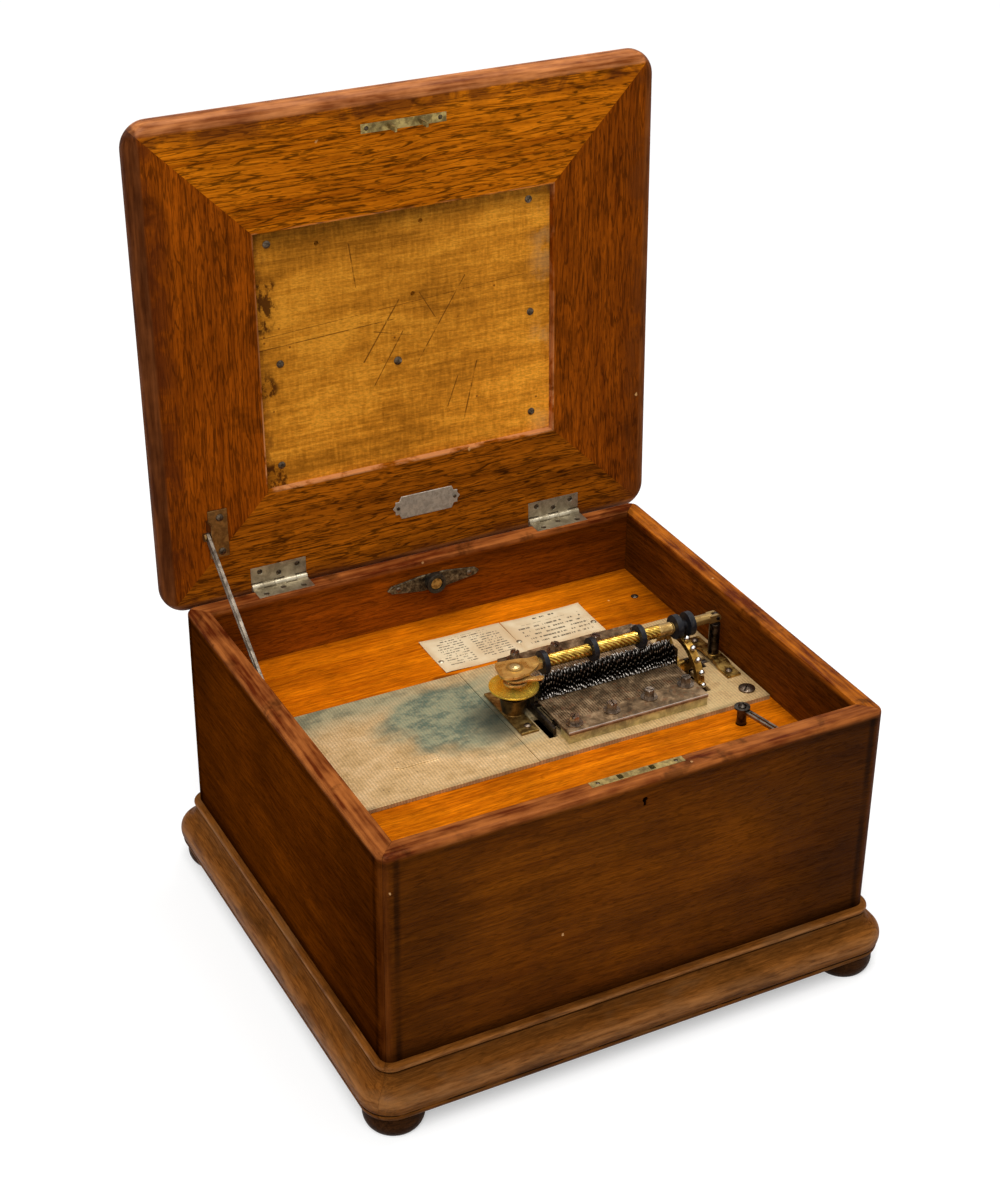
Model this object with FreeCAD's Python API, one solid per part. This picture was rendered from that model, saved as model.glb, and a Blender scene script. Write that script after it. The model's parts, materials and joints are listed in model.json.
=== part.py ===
import FreeCAD, Part
import math
import os

# A table music box that plays steel discs, with its lid standing open.
# X runs to the right, Y to the back and Z up. The origin lies on the floor under the case's middle.
# Heights in this file are counted from a level FOOT_H under the base moulding. The feet reach
# FOOT_DROP lower. Each piece is raised by FOOT_DROP at the end, so that the box stands on Z = 0.

V = FreeCAD.Vector

# Case, in millimetres
CASE_W = 432.0
CASE_D = 388.0
RIM_Z = 245.0
WALL = 17.0
CORNER_R = 9.0
RIM_ROUND = 4.0
FOOT_H = 11.0
FOOT_DROP = 7.0
FOOT_TOP_R = 24.0
FOOT_SOLE_R = 20.5
FOOT_X = 205.0
FOOT_Y = 185.0
BOARD_T = 10.0
PLINTH_TOP = 56.0
DECK_Z = 186.6
PLATE_T = 4.0
PLATE_Z = DECK_Z + PLATE_T
PLATE_Y0 = -66.5
PLATE_Y1 = 78.5
SEAM_X = -19.4
IN_X = CASE_W / 2 - WALL
IN_Y = CASE_D / 2 - WALL

# Lid, measured up its inner face from the hinge axis (v) and into its thickness (n)
HINGE_Y = CASE_D / 2 + 4.6
HINGE_Z = RIM_Z + 0.3
LEAN = 2.09
LID_HALF = 231.0
LID_V0 = -10.5
LID_V1 = 408.0
LID_T = 23.0
LID_CORNER = 22.0
LID_NOSE = 10.5
OPEN_HALF = 134.0
OPEN_V0 = 85.0
OPEN_V1 = 308.0
RECESS = 7.0
PANEL_T = 6.0

# Butt hinges
HINGE_CENTRES = (-129.0, 135.0)
HINGE_LEN = 50.0
KNUCKLE_R = 3.2
HINGE_PIN_R = 1.4
LEAF_T = 1.6
LEAF_REACH = 15.0
LEAF_SCREWS = ((-17.0, 13.5), (0.0, 9.0), (17.0, 13.5))
LEAF_SCREW_R = 2.4

# Sound mechanism
ROW_Y = 4.5
STAR_Z = 208.5
STAR_R = 10.7
STAR_ROOT_R = 7.2
STAR_POINTS = 12
TEETH = 58
COMB_X0 = 12.3
COMB_X1 = 142.3
COMB_TOP = 201.2
COMB_T = 2.8
COMB_FRONT = -56.5
COMB_REAR = -60.0
COMB_TIP = -3.7
SLIT = 0.5
SPINDLE_X = -6.0
DISH_R = 20.6
DISH_Z = 215.5
DISH_RISE = 6.2
WHEEL_X = 152.0
WHEEL_Z = DECK_Z
PIN_CIRCLE = 38.4
PIN_COUNT = 22
BALL_R = 2.7
ARBOR_R = 4.0

# Pressure bar
BAR_Z = 231.7
BAR_R = 5.6
BAR_PIVOT_X = 185.0
ROLLER_R = 10.0
ROLLER_X = (20.5, 66.0, 111.0)

# Spring motor
MOTOR_Z = 119.1
MODULE = 1.25
GREAT_TEETH = 96
PINION_TEETH = 12
GEAR_X0 = 160.0
GEAR_X1 = 169.0
BARREL_R = 50.0
DRUM_X0 = 96.0
DRUM_X1 = 144.0
HUB_R = 20.0
TRAIN_ANGLE = 160.0
WORM_WHEEL_TEETH = 20
WORM_WHEEL_R = 10.0
WORM_R = 4.0
FAN_X = 142.0


def box(x0, x1, y0, y1, z0, z1):
    return Part.makeBox(x1 - x0, y1 - y0, z1 - z0, V(x0, y0, z0))


def rod_x(x0, x1, r, y, z):
    return Part.makeCylinder(r, x1 - x0, V(x0, y, z), V(1, 0, 0))


def rod_y(y0, y1, r, x, z):
    return Part.makeCylinder(r, y1 - y0, V(x, y0, z), V(0, 1, 0))


def rod_z(z0, z1, r, x, y):
    return Part.makeCylinder(r, z1 - z0, V(x, y, z0), V(0, 0, 1))


def prism_z(points, z0, z1):
    wire = Part.makePolygon([V(x, y, z0) for x, y in points + points[:1]])
    return Part.Face(wire).extrude(V(0, 0, z1 - z0))


def prism_x(points, x0, x1):
    wire = Part.makePolygon([V(x0, y, z) for y, z in points + points[:1]])
    return Part.Face(wire).extrude(V(x1 - x0, 0, 0))


def join(shapes):
    whole = shapes[0].multiFuse(shapes[1:]) if len(shapes) > 1 else shapes[0]
    return whole.removeSplitter()


def upright_edges(shape, reach):
    """The vertical edges at the four outer corners of an upright prism."""
    found = []
    for edge in shape.Edges:
        b = edge.BoundBox
        if b.XLength < 1e-6 and b.YLength < 1e-6 and abs(b.XMin) > reach:
            found.append(edge)
    return found


def rounded_prism(half_x, y0, y1, z0, z1, radius):
    solid = box(-half_x, half_x, y0, y1, z0, z1)
    return solid.makeFillet(radius, upright_edges(solid, half_x - 1))


def outline_edges(shape, z, inside, outside):
    """The edges in the plane z that lie between two half sizes."""
    found = []
    for edge in shape.Edges:
        b = edge.BoundBox
        if b.ZLength < 1e-6 and abs(b.ZMin - z) < 1e-6:
            far = max(abs(b.XMin) / outside[0], abs(b.XMax) / outside[0],
                      abs(b.YMin) / outside[1], abs(b.YMax) / outside[1])
            if far > inside:
                found.append(edge)
    return found


# Mitred sides: each side is the part of a ring inside its own wedge
def wedge(side, half_x, half_y, z0, z1):
    grow = 30.0
    deep = 60.0
    x1, y1 = half_x + grow, half_y + grow
    x0, y0 = half_x - deep, half_y - deep
    shapes = {
        "front": [(-x1, -y1), (x1, -y1), (x0, -y0), (-x0, -y0)],
        "back": [(-x1, y1), (x1, y1), (x0, y0), (-x0, y0)],
        "left": [(-x1, -y1), (-x1, y1), (-x0, y0), (-x0, -y0)],
        "right": [(x1, -y1), (x1, y1), (x0, y0), (x0, -y0)],
    }
    return prism_z(shapes[side], z0, z1)


def case_ring():
    outer = rounded_prism(CASE_W / 2, -CASE_D / 2, CASE_D / 2, FOOT_H, RIM_Z, CORNER_R)
    rim = outline_edges(outer, RIM_Z, 0.9, (CASE_W / 2, CASE_D / 2))
    outer = outer.makeFillet(RIM_ROUND, rim)
    return outer.cut(box(-IN_X, IN_X, -IN_Y, IN_Y, FOOT_H - 1, RIM_Z + 1))


# Lock let into the front rim
LOCK_HALF = 40.0
LOCK_Y0 = -184.0
LOCK_PLATE_T = 2.5
LOCK_BODY_HALF = 30.0
LOCK_DEPTH = 44.0
KEY_Z = RIM_Z - 17.0
STAPLE_X = (-14.5, 13.0)
STAPLE_T = 2.0
STAPLE_W = 4.0
LOCK_MID = -180.2


def lock_space(gap):
    front = LOCK_Y0 - gap
    wide = LOCK_HALF + gap
    narrow = LOCK_BODY_HALF + gap
    plate = box(-wide, wide, front, -IN_Y + 1, RIM_Z - LOCK_PLATE_T - gap, RIM_Z + 1)
    body = box(-narrow, narrow, front, -IN_Y + 1, RIM_Z - LOCK_DEPTH - gap, RIM_Z)
    return plate.fuse(body)


def keyhole(y0, y1):
    round_part = rod_y(y0, y1, 2.3, 0, KEY_Z)
    return round_part.fuse(box(-1.2, 1.2, y0, y1, KEY_Z - 6.0, KEY_Z))


# Back rim sinks for the lower hinge leaves
def leaf_sinks():
    sinks = []
    for x in HINGE_CENTRES:
        half = HINGE_LEN / 2 + 0.1
        y0 = HINGE_Y - LEAF_REACH - KNUCKLE_R - 0.1
        sinks.append(box(x - half, x + half, y0, CASE_D / 2 + 1, RIM_Z - LEAF_T, RIM_Z + 1))
        sinks.append(rod_x(x - half, x + half, KNUCKLE_R + 0.4, HINGE_Y, HINGE_Z))
    return sinks


WINDING_HOLE_R = 11.0


def case_walls():
    ring = case_ring()
    cuts = {
        "front": [lock_space(0.05), keyhole(-CASE_D / 2 - 1, LOCK_Y0 + 1)],
        "back": leaf_sinks(),
        "left": [],
        "right": [rod_x(IN_X - 1, CASE_W / 2 + 1, WINDING_HOLE_R, ROW_Y, MOTOR_Z)],
    }
    walls = {}
    for side, holes in cuts.items():
        wall = ring.common(wedge(side, CASE_W / 2, CASE_D / 2, FOOT_H - 1, RIM_Z + 1))
        for hole in holes:
            wall = wall.cut(hole)
        walls["wall_" + side] = wall
    return walls


def bottom_board():
    return box(-IN_X, IN_X, -IN_Y, IN_Y, FOOT_H, FOOT_H + BOARD_T)


# Base moulding: a bead, a quirk, an ogee nose and a lower band, swept round the corners.
# Each point is the distance out from the case and the height.
BEAD_START = (2.0, PLINTH_TOP)
BEAD_SWELL = (5.5, 53.0)
BEAD_END = (4.2, 50.0)
BEAD_QUIRK = (3.4, 49.2)
NOSE_CURVE = ((4.2, 48.2), (5.2, 44.0), (8.2, 39.6), (12.6, 36.2),
              (16.4, 32.6), (18.3, 27.5), (17.9, 21.5), (16.8, 18.4))
NOSE_QUIRK = (16.2, 18.0)
BAND_START = (16.8, 17.6)
BAND_SWELL = (15.9, 13.4)
BAND_END = (13.4, FOOT_H)


def moulding_face():
    """Profile in the YZ plane, with y measured outward from the case."""
    def line(a, b):
        return Part.LineSegment(V(0, *a), V(0, *b)).toShape()

    def arc(a, m, b):
        return Part.Arc(V(0, *a), V(0, *m), V(0, *b)).toShape()

    nose = Part.BSplineCurve()
    nose.interpolate([V(0, *point) for point in NOSE_CURVE])
    edges = [
        line((0, FOOT_H), (0, PLINTH_TOP)),
        line((0, PLINTH_TOP), BEAD_START),
        arc(BEAD_START, BEAD_SWELL, BEAD_END),
        line(BEAD_END, BEAD_QUIRK),
        line(BEAD_QUIRK, NOSE_CURVE[0]),
        nose.toShape(),
        line(NOSE_CURVE[-1], NOSE_QUIRK),
        line(NOSE_QUIRK, BAND_START),
        arc(BAND_START, BAND_SWELL, BAND_END),
        line(BAND_END, (0, FOOT_H)),
    ]
    return Part.Face(Part.Wire(edges))


def base_moulding():
    """Four sides, each a straight run with half of a round corner at either end."""
    turns = {"front": 180, "back": 0, "left": 90, "right": -90}
    up = V(0, 0, 1)
    strips = {}
    for side, angle in turns.items():
        across = side in ("front", "back")
        half = (CASE_W if across else CASE_D) / 2 - CORNER_R
        away = (CASE_D if across else CASE_W) / 2
        start = moulding_face()
        start.translate(V(-half, away, 0))
        end = moulding_face()
        end.translate(V(half, away, 0))
        pieces = [start.extrude(V(2 * half, 0, 0))]
        pieces.append(start.revolve(V(-half, away - CORNER_R, 0), up, 45))
        pieces.append(end.revolve(V(half, away - CORNER_R, 0), up, -45))
        strip = join(pieces)
        strip.rotate(V(0, 0, 0), up, angle)
        strips["plinth_" + side] = strip
    return strips


# Turned bun feet
def bun_feet():
    """Four turned feet, widest near the top and drawn in towards the sole."""
    sole = V(FOOT_SOLE_R, 0, -FOOT_DROP)
    swell = V(FOOT_TOP_R - 0.4, 0, -1.5)
    waist = V(FOOT_TOP_R + 0.2, 0, 5.0)
    top = V(FOOT_TOP_R - 0.6, 0, FOOT_H)
    low_axis = V(0, 0, -FOOT_DROP)
    high_axis = V(0, 0, FOOT_H)
    edges = [
        Part.LineSegment(low_axis, sole).toShape(),
        Part.Arc(sole, swell, waist).toShape(),
        Part.LineSegment(waist, top).toShape(),
        Part.LineSegment(top, high_axis).toShape(),
        Part.LineSegment(high_axis, low_axis).toShape(),
    ]
    foot = Part.Face(Part.Wire(edges)).revolve(V(0, 0, 0), V(0, 0, 1), 360)
    feet = []
    for x in (-FOOT_X, FOOT_X):
        for y in (-FOOT_Y, FOOT_Y):
            one = foot.copy()
            one.translate(V(x, y, 0))
            feet.append(one)
    return Part.makeCompound(feet)


# Deck with the motor well, and the cleats under it
WELL_X0 = -180.0
WELL_X1 = 188.0
WELL_Y0 = PLATE_Y0 + 10
WELL_Y1 = PLATE_Y1 - 10
LEVER_X = 155.7
LEVER_Y = -86.5
LEVER_R = 4.0


def deck_board():
    deck = box(-IN_X, IN_X, -IN_Y, IN_Y, DECK_Z - BOARD_T, DECK_Z)
    deck = deck.cut(box(WELL_X0, WELL_X1, WELL_Y0, WELL_Y1, DECK_Z - BOARD_T - 1, DECK_Z + 1))
    return deck.cut(rod_z(DECK_Z - BOARD_T - 1, DECK_Z + 1, LEVER_R + 0.6, LEVER_X, LEVER_Y))


def deck_cleats():
    top = DECK_Z - BOARD_T
    cleats = [box(-IN_X + 20, IN_X - 20, s * IN_Y - (15 if s > 0 else 0), s * IN_Y + (0 if s > 0 else 15),
                  top - 15, top) for s in (-1, 1)]
    return Part.makeCompound(cleats)


# Iron bedplate with its slots, and the loose plate over the motor
SLOT_HALF_Y = 10.0


def bedplate():
    plate = box(SEAM_X, IN_X - 2.5, PLATE_Y0, PLATE_Y1, DECK_Z, PLATE_Z)
    reach = PIN_CIRCLE + BALL_R + 2
    for x0, x1, half_y in (
        (WHEEL_X - 5, WHEEL_X + 5, reach),
        (WHEEL_X + 4, GEAR_X1 + 4, SLOT_HALF_Y),
        (137, WHEEL_X - 4, 5.5),
        (GEAR_X1 + 3, GEAR_X1 + 10, 4.6),
    ):
        plate = plate.cut(box(x0, x1, ROW_Y - half_y, ROW_Y + half_y, DECK_Z - 1, PLATE_Z + 1))
    plate = plate.cut(box(2.5, 10.5, -42, -8, DECK_Z - 1, PLATE_Z + 1))
    for x, y in COMB_BOLT_XY:
        plate = plate.cut(rod_z(DECK_Z - 1, PLATE_Z + 1, BOLT_HOLE_R, x, y))
    return plate


def motor_cover_plate():
    plate = box(-IN_X + 0.5, SEAM_X - 0.3, PLATE_Y0, PLATE_Y1, DECK_Z, PLATE_Z - 0.3)
    outline = [(-127, -24), (-123, -28), (-90, -28), (-86, -24), (-90, -20), (-123, -20)]
    lozenge = prism_z(outline, PLATE_Z - 0.3, PLATE_Z + 1)
    return join([plate, lozenge])


# Slotted screws of several heads, each a solid of its own
def slotted_head(r, h, slot_angle, slot_w, slot_d):
    head = Part.makeCylinder(r, h * 0.45)
    dome = Part.makeSphere((r * r + (h * 0.55) ** 2) / (2 * h * 0.55))
    dome.translate(V(0, 0, h - (r * r + (h * 0.55) ** 2) / (2 * h * 0.55)))
    cap = dome.common(Part.makeCylinder(r, h, V(0, 0, h * 0.45)))
    solid = head.fuse(cap).removeSplitter()
    slot = Part.makeBox(2 * r + 2, slot_w, slot_d, V(-r - 1, -slot_w / 2, h - slot_d))
    slot.rotate(V(0, 0, 0), V(0, 0, 1), slot_angle)
    return solid.cut(slot)


def screw_at(position, normal, r, h, slot_angle=20.0):
    screw = slotted_head(r, h, slot_angle, max(0.5, r * 0.22), h * 0.4)
    turn = FreeCAD.Rotation(V(0, 0, 1), normal)
    screw.Placement = FreeCAD.Placement(position, turn)
    return screw


PLATE_SCREWS = ((184.2, -50.2, 7.0), (183.5, 62.0, 7.0))
FOOT_SCREWS = ((184.0, -22.5, 3.0), (184.0, 31.5, 3.0))
SPINDLE_SCREWS = ((-6.5, -21.0, 3.0), (-1.5, 30.0, 3.0))
STRAP_T = 2.2


def plate_screws():
    screws = []
    for index, (x, y, r) in enumerate(PLATE_SCREWS):
        screws.append(screw_at(V(x, y, PLATE_Z), V(0, 0, 1), r, 3.0, 40 + 50 * index))
    for index, (x, y, r) in enumerate(FOOT_SCREWS + SPINDLE_SCREWS):
        screws.append(screw_at(V(x, y, PLATE_Z + STRAP_T), V(0, 0, 1), r, 2.4, 70 + 35 * index))
    screws.append(screw_at(V(181.3, 129.0, DECK_Z), V(0, 0, 1), 3.4, 1.4, 15))
    screws.append(screw_at(V(-181.3, -129.0, DECK_Z), V(0, 0, 1), 3.4, 1.4, 75))
    return Part.makeCompound(screws)


# Lock: rim plate and body as one piece, with the bolt sliding inside
BOLT_THROW = 4.6


def lock_body():
    body = lock_space(0).common(box(-60, 60, LOCK_Y0, -IN_Y, RIM_Z - 60, RIM_Z))
    cavity = box(-26, 26, LOCK_MID - 2.6, LOCK_MID + 2.6, RIM_Z - 20, RIM_Z - LOCK_PLATE_T)
    body = body.cut(cavity)
    for x in STAPLE_X:
        half = STAPLE_T / 2 + 1.2
        body = body.cut(box(x - half, x + half, LOCK_MID - 2.6, LOCK_MID + 2.6, RIM_Z - 3, RIM_Z + 1))
    for x in (-33.5, 33.5):
        body = body.cut(rod_z(RIM_Z - 3, RIM_Z + 1, 1.7, x, LOCK_MID))
    return body.cut(keyhole(LOCK_Y0 - 1, LOCK_MID))


def lock_bolt():
    z0 = RIM_Z - 13.6
    bar = box(-20, 20, LOCK_MID - 2.2, LOCK_MID + 2.2, z0 - 5.5, z0 - 2.2)
    fingers = []
    for x in STAPLE_X:
        tip = x - STAPLE_T / 2 - 0.6
        root = tip - BOLT_THROW
        fingers.append(box(root - 3.0, root, LOCK_MID - 0.7, LOCK_MID + 0.7, z0 - 2.3, z0 + 4.4))
        fingers.append(box(root - 0.1, tip, LOCK_MID - 0.7, LOCK_MID + 0.7, z0 + 2.2, z0 + 4.4))
    return join([bar] + fingers)


# Fitting on the inside of the back wall: a tapered plate with a round boss
BOSS_X = 5.0
BOSS_Z = 224.0
BOSS_R = 9.0
BOSS_OUT = 8.5
BUTTON_R = 5.2


def back_wall_plate():
    y = IN_Y
    upper = [(-44, 0), (-40, 3.5), (-12, 7.5), (12, 7.5), (40, 3.5)]
    outline = upper + [(-a, -b) for a, b in upper]
    wire = Part.makePolygon([V(BOSS_X + a, y, BOSS_Z + b) for a, b in outline + outline[:1]])
    plate = Part.Face(wire).extrude(V(0, -2.0, 0))
    ring = rod_y(y - BOSS_OUT, y - 2.0, BOSS_R, BOSS_X, BOSS_Z)
    ring = ring.cut(rod_y(y - BOSS_OUT - 1, y - BOSS_OUT + 2.5, BUTTON_R + 0.6, BOSS_X, BOSS_Z))
    button = rod_y(y - BOSS_OUT + 0.8, y - 3.0, BUTTON_R, BOSS_X, BOSS_Z)
    return join([plate, ring, button])


# Two paper cards on the deck
CARD_T = 0.4
CARD_A = (-25.8, 51.6, 88.0, 142.0)
CARD_B = (52.0, 129.6, 89.8, 140.4)
TACKS = ((-24.9 + 3, 105.8), (52.8, 105.8), (126.4, 106.4))


def cards():
    sheets = [box(a[0], a[1], a[2], a[3], DECK_Z, DECK_Z + CARD_T) for a in (CARD_A, CARD_B)]
    return Part.makeCompound(sheets)


def card_tacks():
    tacks = []
    for x, y in TACKS:
        ball = Part.makeSphere(3.6)
        ball.translate(V(x, y, DECK_Z + CARD_T - 2.2))
        keep = box(x - 5, x + 5, y - 5, y + 5, DECK_Z + CARD_T, DECK_Z + 5)
        tacks.append(ball.common(keep))
    return Part.makeCompound(tacks)


# Lid stay
STAY_X0 = -193.4
STAY_X1 = -190.6
STAY_V = 61.0
STAY_OFF = 8.0
STAY_LEN = 152.0
STAY_W = 7.0
STUD_REACH = 146.0
STAY_ANGLE = 216.2


def lid_point(x, v, n):
    """A point given on the lid, as it stands open."""
    a = math.radians(LEAN)
    y = HINGE_Y + v * math.sin(a) + n * math.cos(a)
    z = HINGE_Z + v * math.cos(a) - n * math.sin(a)
    return V(x, y, z)


def stay_pivot():
    p = lid_point(0, STAY_V, -STAY_OFF)
    return p.y, p.z


def stay_bar():
    y, z = stay_pivot()
    half = STAY_W / 2
    bar = box(STAY_X0, STAY_X1, 0, STAY_LEN, -half, half)
    bar = bar.fuse(rod_x(STAY_X0, STAY_X1, half, 0, 0)).fuse(rod_x(STAY_X0, STAY_X1, half, STAY_LEN, 0))
    slot = box(STAY_X0 - 1, STAY_X1 + 1, 14, STAY_LEN - 3, -1.7, 1.7)
    bar = bar.cut(slot).cut(rod_x(STAY_X0 - 1, STAY_X1 + 1, 2.05, 0, 0))
    bar = bar.removeSplitter()
    bar.rotate(V(0, 0, 0), V(1, 0, 0), STAY_ANGLE)
    bar.translate(V(0, y, z))
    return bar


def stay_stud():
    y, z = stay_pivot()
    a = math.radians(STAY_ANGLE)
    sy = y + STUD_REACH * math.cos(a)
    sz = z + STUD_REACH * math.sin(a)
    plate = rod_x(-IN_X, -IN_X + 1.6, 8.0, sy, sz)
    return join([plate, rod_x(-IN_X, STAY_X0 - 0.5, 4.0, sy, sz)])


def stay_bracket():
    """Bracket in lid coordinates: a plate with two lobes and an ear that carries the stay."""
    plate = lid_box(-188.6, -172.0, 37.0, 80.0, -2.0, 0.0)
    ear = lid_box(-190.3, -188.3, 50.0, 72.0, -13.0, 0.0)
    pin = rod_x(STAY_X0 - 1.2, -188.4, 2.0, *stay_pivot())
    cap = rod_x(STAY_X0 - 2.2, STAY_X0 - 0.2, 3.6, *stay_pivot())
    return join([plate, ear, pin, cap])


# Lid pieces are built flat, with v along Y and the inner side up, and then stood up
def lid_box(x0, x1, v0, v1, n0, n1):
    """A box given in lid coordinates, placed where the lid stands."""
    solid = box(x0, x1, v0, v1, -n1, -n0)
    return lid_turn(solid)


def lid_turn(solid):
    """Place a piece built with v along +Y and the lid's inner side towards +Z."""
    placed = solid.copy()
    placed.rotate(V(0, 0, 0), V(1, 0, 0), 90 - LEAN)
    placed.translate(V(0, HINGE_Y, HINGE_Z))
    return placed


# The frame of four mitred boards with a bull nose, and the two panels in it
def lid_ring():
    outer = rounded_prism(LID_HALF, LID_V0, LID_V1, -LID_T, 0, LID_CORNER)
    for z in (-LID_T, 0):
        middle = (LID_V0 + LID_V1) / 2
        edges = []
        for edge in outer.Edges:
            b = edge.BoundBox
            flat = b.ZLength < 1e-6 and abs(b.ZMin - z) < 1e-6
            side_way = max(abs(b.XMin), abs(b.XMax)) - LID_HALF
            end_way = max(abs(b.YMin - middle), abs(b.YMax - middle)) - (LID_V1 - LID_V0) / 2
            if flat and max(side_way, end_way) > -LID_CORNER - 1:
                edges.append(edge)
        outer = outer.makeFillet(LID_NOSE, edges)
    hole = box(-OPEN_HALF, OPEN_HALF, OPEN_V0, OPEN_V1, -LID_T - 1, 1)
    ring = outer.cut(hole)
    rebate = box(-OPEN_HALF - 12, OPEN_HALF + 12, OPEN_V0 - 12, OPEN_V1 + 12, -LID_T - 1, -RECESS)
    return ring.cut(rebate)


def lid_wedges():
    """Mitre regions between the outer corners and the opening's corners."""
    far = 60.0
    slope_low = (OPEN_V0 - LID_V0) / (LID_HALF - OPEN_HALF)
    slope_high = (LID_V1 - OPEN_V1) / (LID_HALF - OPEN_HALF)
    low_out = (LID_HALF + far, LID_V0 - far * slope_low)
    high_out = (LID_HALF + far, LID_V1 + far * slope_high)
    low_in = (OPEN_HALF - far, OPEN_V0 + far * slope_low)
    high_in = (OPEN_HALF - far, OPEN_V1 - far * slope_high)

    def left(p):
        return (-p[0], p[1])

    z0, z1 = -LID_T - 2, 2
    return {
        "lid_rail_back": prism_z([left(low_out), low_out, low_in, left(low_in)], z0, z1),
        "lid_rail_front": prism_z([left(high_out), high_out, high_in, left(high_in)], z0, z1),
        "lid_stile_right": prism_z([low_out, high_out, high_in, low_in], z0, z1),
        "lid_stile_left": prism_z([left(low_out), left(high_out), left(high_in), left(low_in)], z0, z1),
    }


def lid_leaf_sinks():
    sinks = []
    for x in HINGE_CENTRES:
        half = HINGE_LEN / 2 + 0.1
        sinks.append(box(x - half, x + half, 0, KNUCKLE_R + LEAF_REACH + 0.1, -LEAF_T, 1))
        sinks.append(rod_x(x - half, x + half, KNUCKLE_R + 0.4, 0, 0))
    return sinks


def lid_frame():
    ring = lid_ring()
    boards = {}
    for name, region in lid_wedges().items():
        board = ring.common(region)
        if name == "lid_rail_back":
            for sink in lid_leaf_sinks():
                board = board.cut(sink)
        if name == "lid_rail_front":
            board = board.cut(box(STRIKE_X0, STRIKE_X1, STRIKE_V - 3.95, STRIKE_V + 3.95, -STRIKE_T, 1))
        boards[name] = lid_turn(board)
    return boards


PANEL_LAP = 11.8


def lid_field(z0, z1):
    half = OPEN_HALF + PANEL_LAP
    return box(-half, half, OPEN_V0 - PANEL_LAP, OPEN_V1 + PANEL_LAP, z0, z1)


def lid_inner_panel():
    panel = lid_field(-RECESS - PANEL_T, -RECESS)
    for x, v in PANEL_HOLES:
        panel = panel.cut(rod_z(-RECESS - 3, -RECESS + 1, 2.0, x, v))
    return lid_turn(panel)


def lid_top_board():
    return lid_turn(lid_field(-LID_T, -RECESS - PANEL_T - 0.05))


PANEL_SCREWS = ((-120.3, 295.9), (113.9, 295.9), (115.5, 196.2),
                (116.3, 103.6), (-114.3, 193.1), (-118.0, 103.6))
PANEL_HOLES = ((-77.5, 289.6), (14.6, 293.5), (6.0, 232.0))
STRIKE_V = HINGE_Y - LOCK_MID
PLAQUE = (10.3, 43.0)
PLAQUE_HALF = (32.0, 10.5)


def lid_screw(x, v, n, r, h, angle):
    screw = slotted_head(r, h, angle, max(0.5, r * 0.22), h * 0.4)
    screw.translate(V(x, v, -n))
    return lid_turn(screw)


def lid_screws():
    screws = []
    for index, (x, v) in enumerate(PANEL_SCREWS):
        screws.append(lid_screw(x, v, RECESS, 3.2, 1.3, 25 + 31 * index))
    screws.append(lid_screw(-9.5, 175.7, RECESS, 3.6, 1.6, 60))
    for centre in HINGE_CENTRES:
        for step, along in LEAF_SCREWS:
            turned = 30 + 3 * step
            screws.append(lid_screw(centre + step, along, LEAF_T, LEAF_SCREW_R, LEAF_T - 0.1, turned))
    for x, v in ((-178.6, 73.0), (-178.2, 42.0)):
        screws.append(lid_screw(x, v, -2.0, 3.2, 1.3, 50))
    for x in STRIKE_SCREW_X:
        screws.append(lid_screw(x, STRIKE_V, STRIKE_T - 0.1, STRIKE_SCREW_R, STRIKE_T - 0.15, 35))
    for side in (-1, 1):
        screws.append(lid_screw(PLAQUE[0] + side * 27.0, PLAQUE[1], -0.9, 1.6, 0.7, 80))
    return Part.makeCompound(screws)


STRIKE_X0 = -38.5
STRIKE_X1 = 36.5
STRIKE_T = 1.5
STRIKE_SCREW_R = 1.9
STRIKE_SCREW_X = (-33.5, 31.0)


def strike_plate():
    plate = box(STRIKE_X0, STRIKE_X1, STRIKE_V - 3.9, STRIKE_V + 3.9, -STRIKE_T, 0)
    staples = []
    for x in STAPLE_X:
        leg = box(-STAPLE_T / 2, STAPLE_T / 2, STRIKE_V - STAPLE_W / 2, STRIKE_V + STAPLE_W / 2, -1, 14.0)
        leg.translate(V(x, 0, 0))
        leg = leg.cut(box(x - 2, x + 2, STRIKE_V - 1.2, STRIKE_V + 1.2, 8.0, 12.6))
        staples.append(leg)
    for x in STRIKE_SCREW_X:
        plate = plate.cut(rod_z(-STRIKE_T - 1, 1, STRIKE_SCREW_R + 0.05, x, STRIKE_V))
    return lid_turn(join([plate] + staples))


def plaque():
    cx, cv = PLAQUE
    a, b = PLAQUE_HALF
    left = [(-a, 0), (-a + 2.5, 3.0), (-a + 2.5, 6.0), (-a + 6, 6.0), (-a + 8, b)]
    right = [(a - 8, b), (a - 6, 6.0), (a - 2.5, 6.0), (a - 2.5, 3.0)]
    upper = left + right
    points = upper + [(-x, -y) for x, y in upper]
    plate = prism_z([(cx + x, cv + y) for x, y in points], 0.0, 0.9)
    return lid_turn(plate)


# Hinges: five knuckles, three on the case leaf and two on the lid leaf
def knuckle_spans(x, mine):
    step = HINGE_LEN / 5
    first = x - HINGE_LEN / 2
    spans = [(first + i * step + 0.1, first + (i + 1) * step - 0.1) for i in range(5)]
    return spans[0::2] if mine else spans[1::2]


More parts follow.
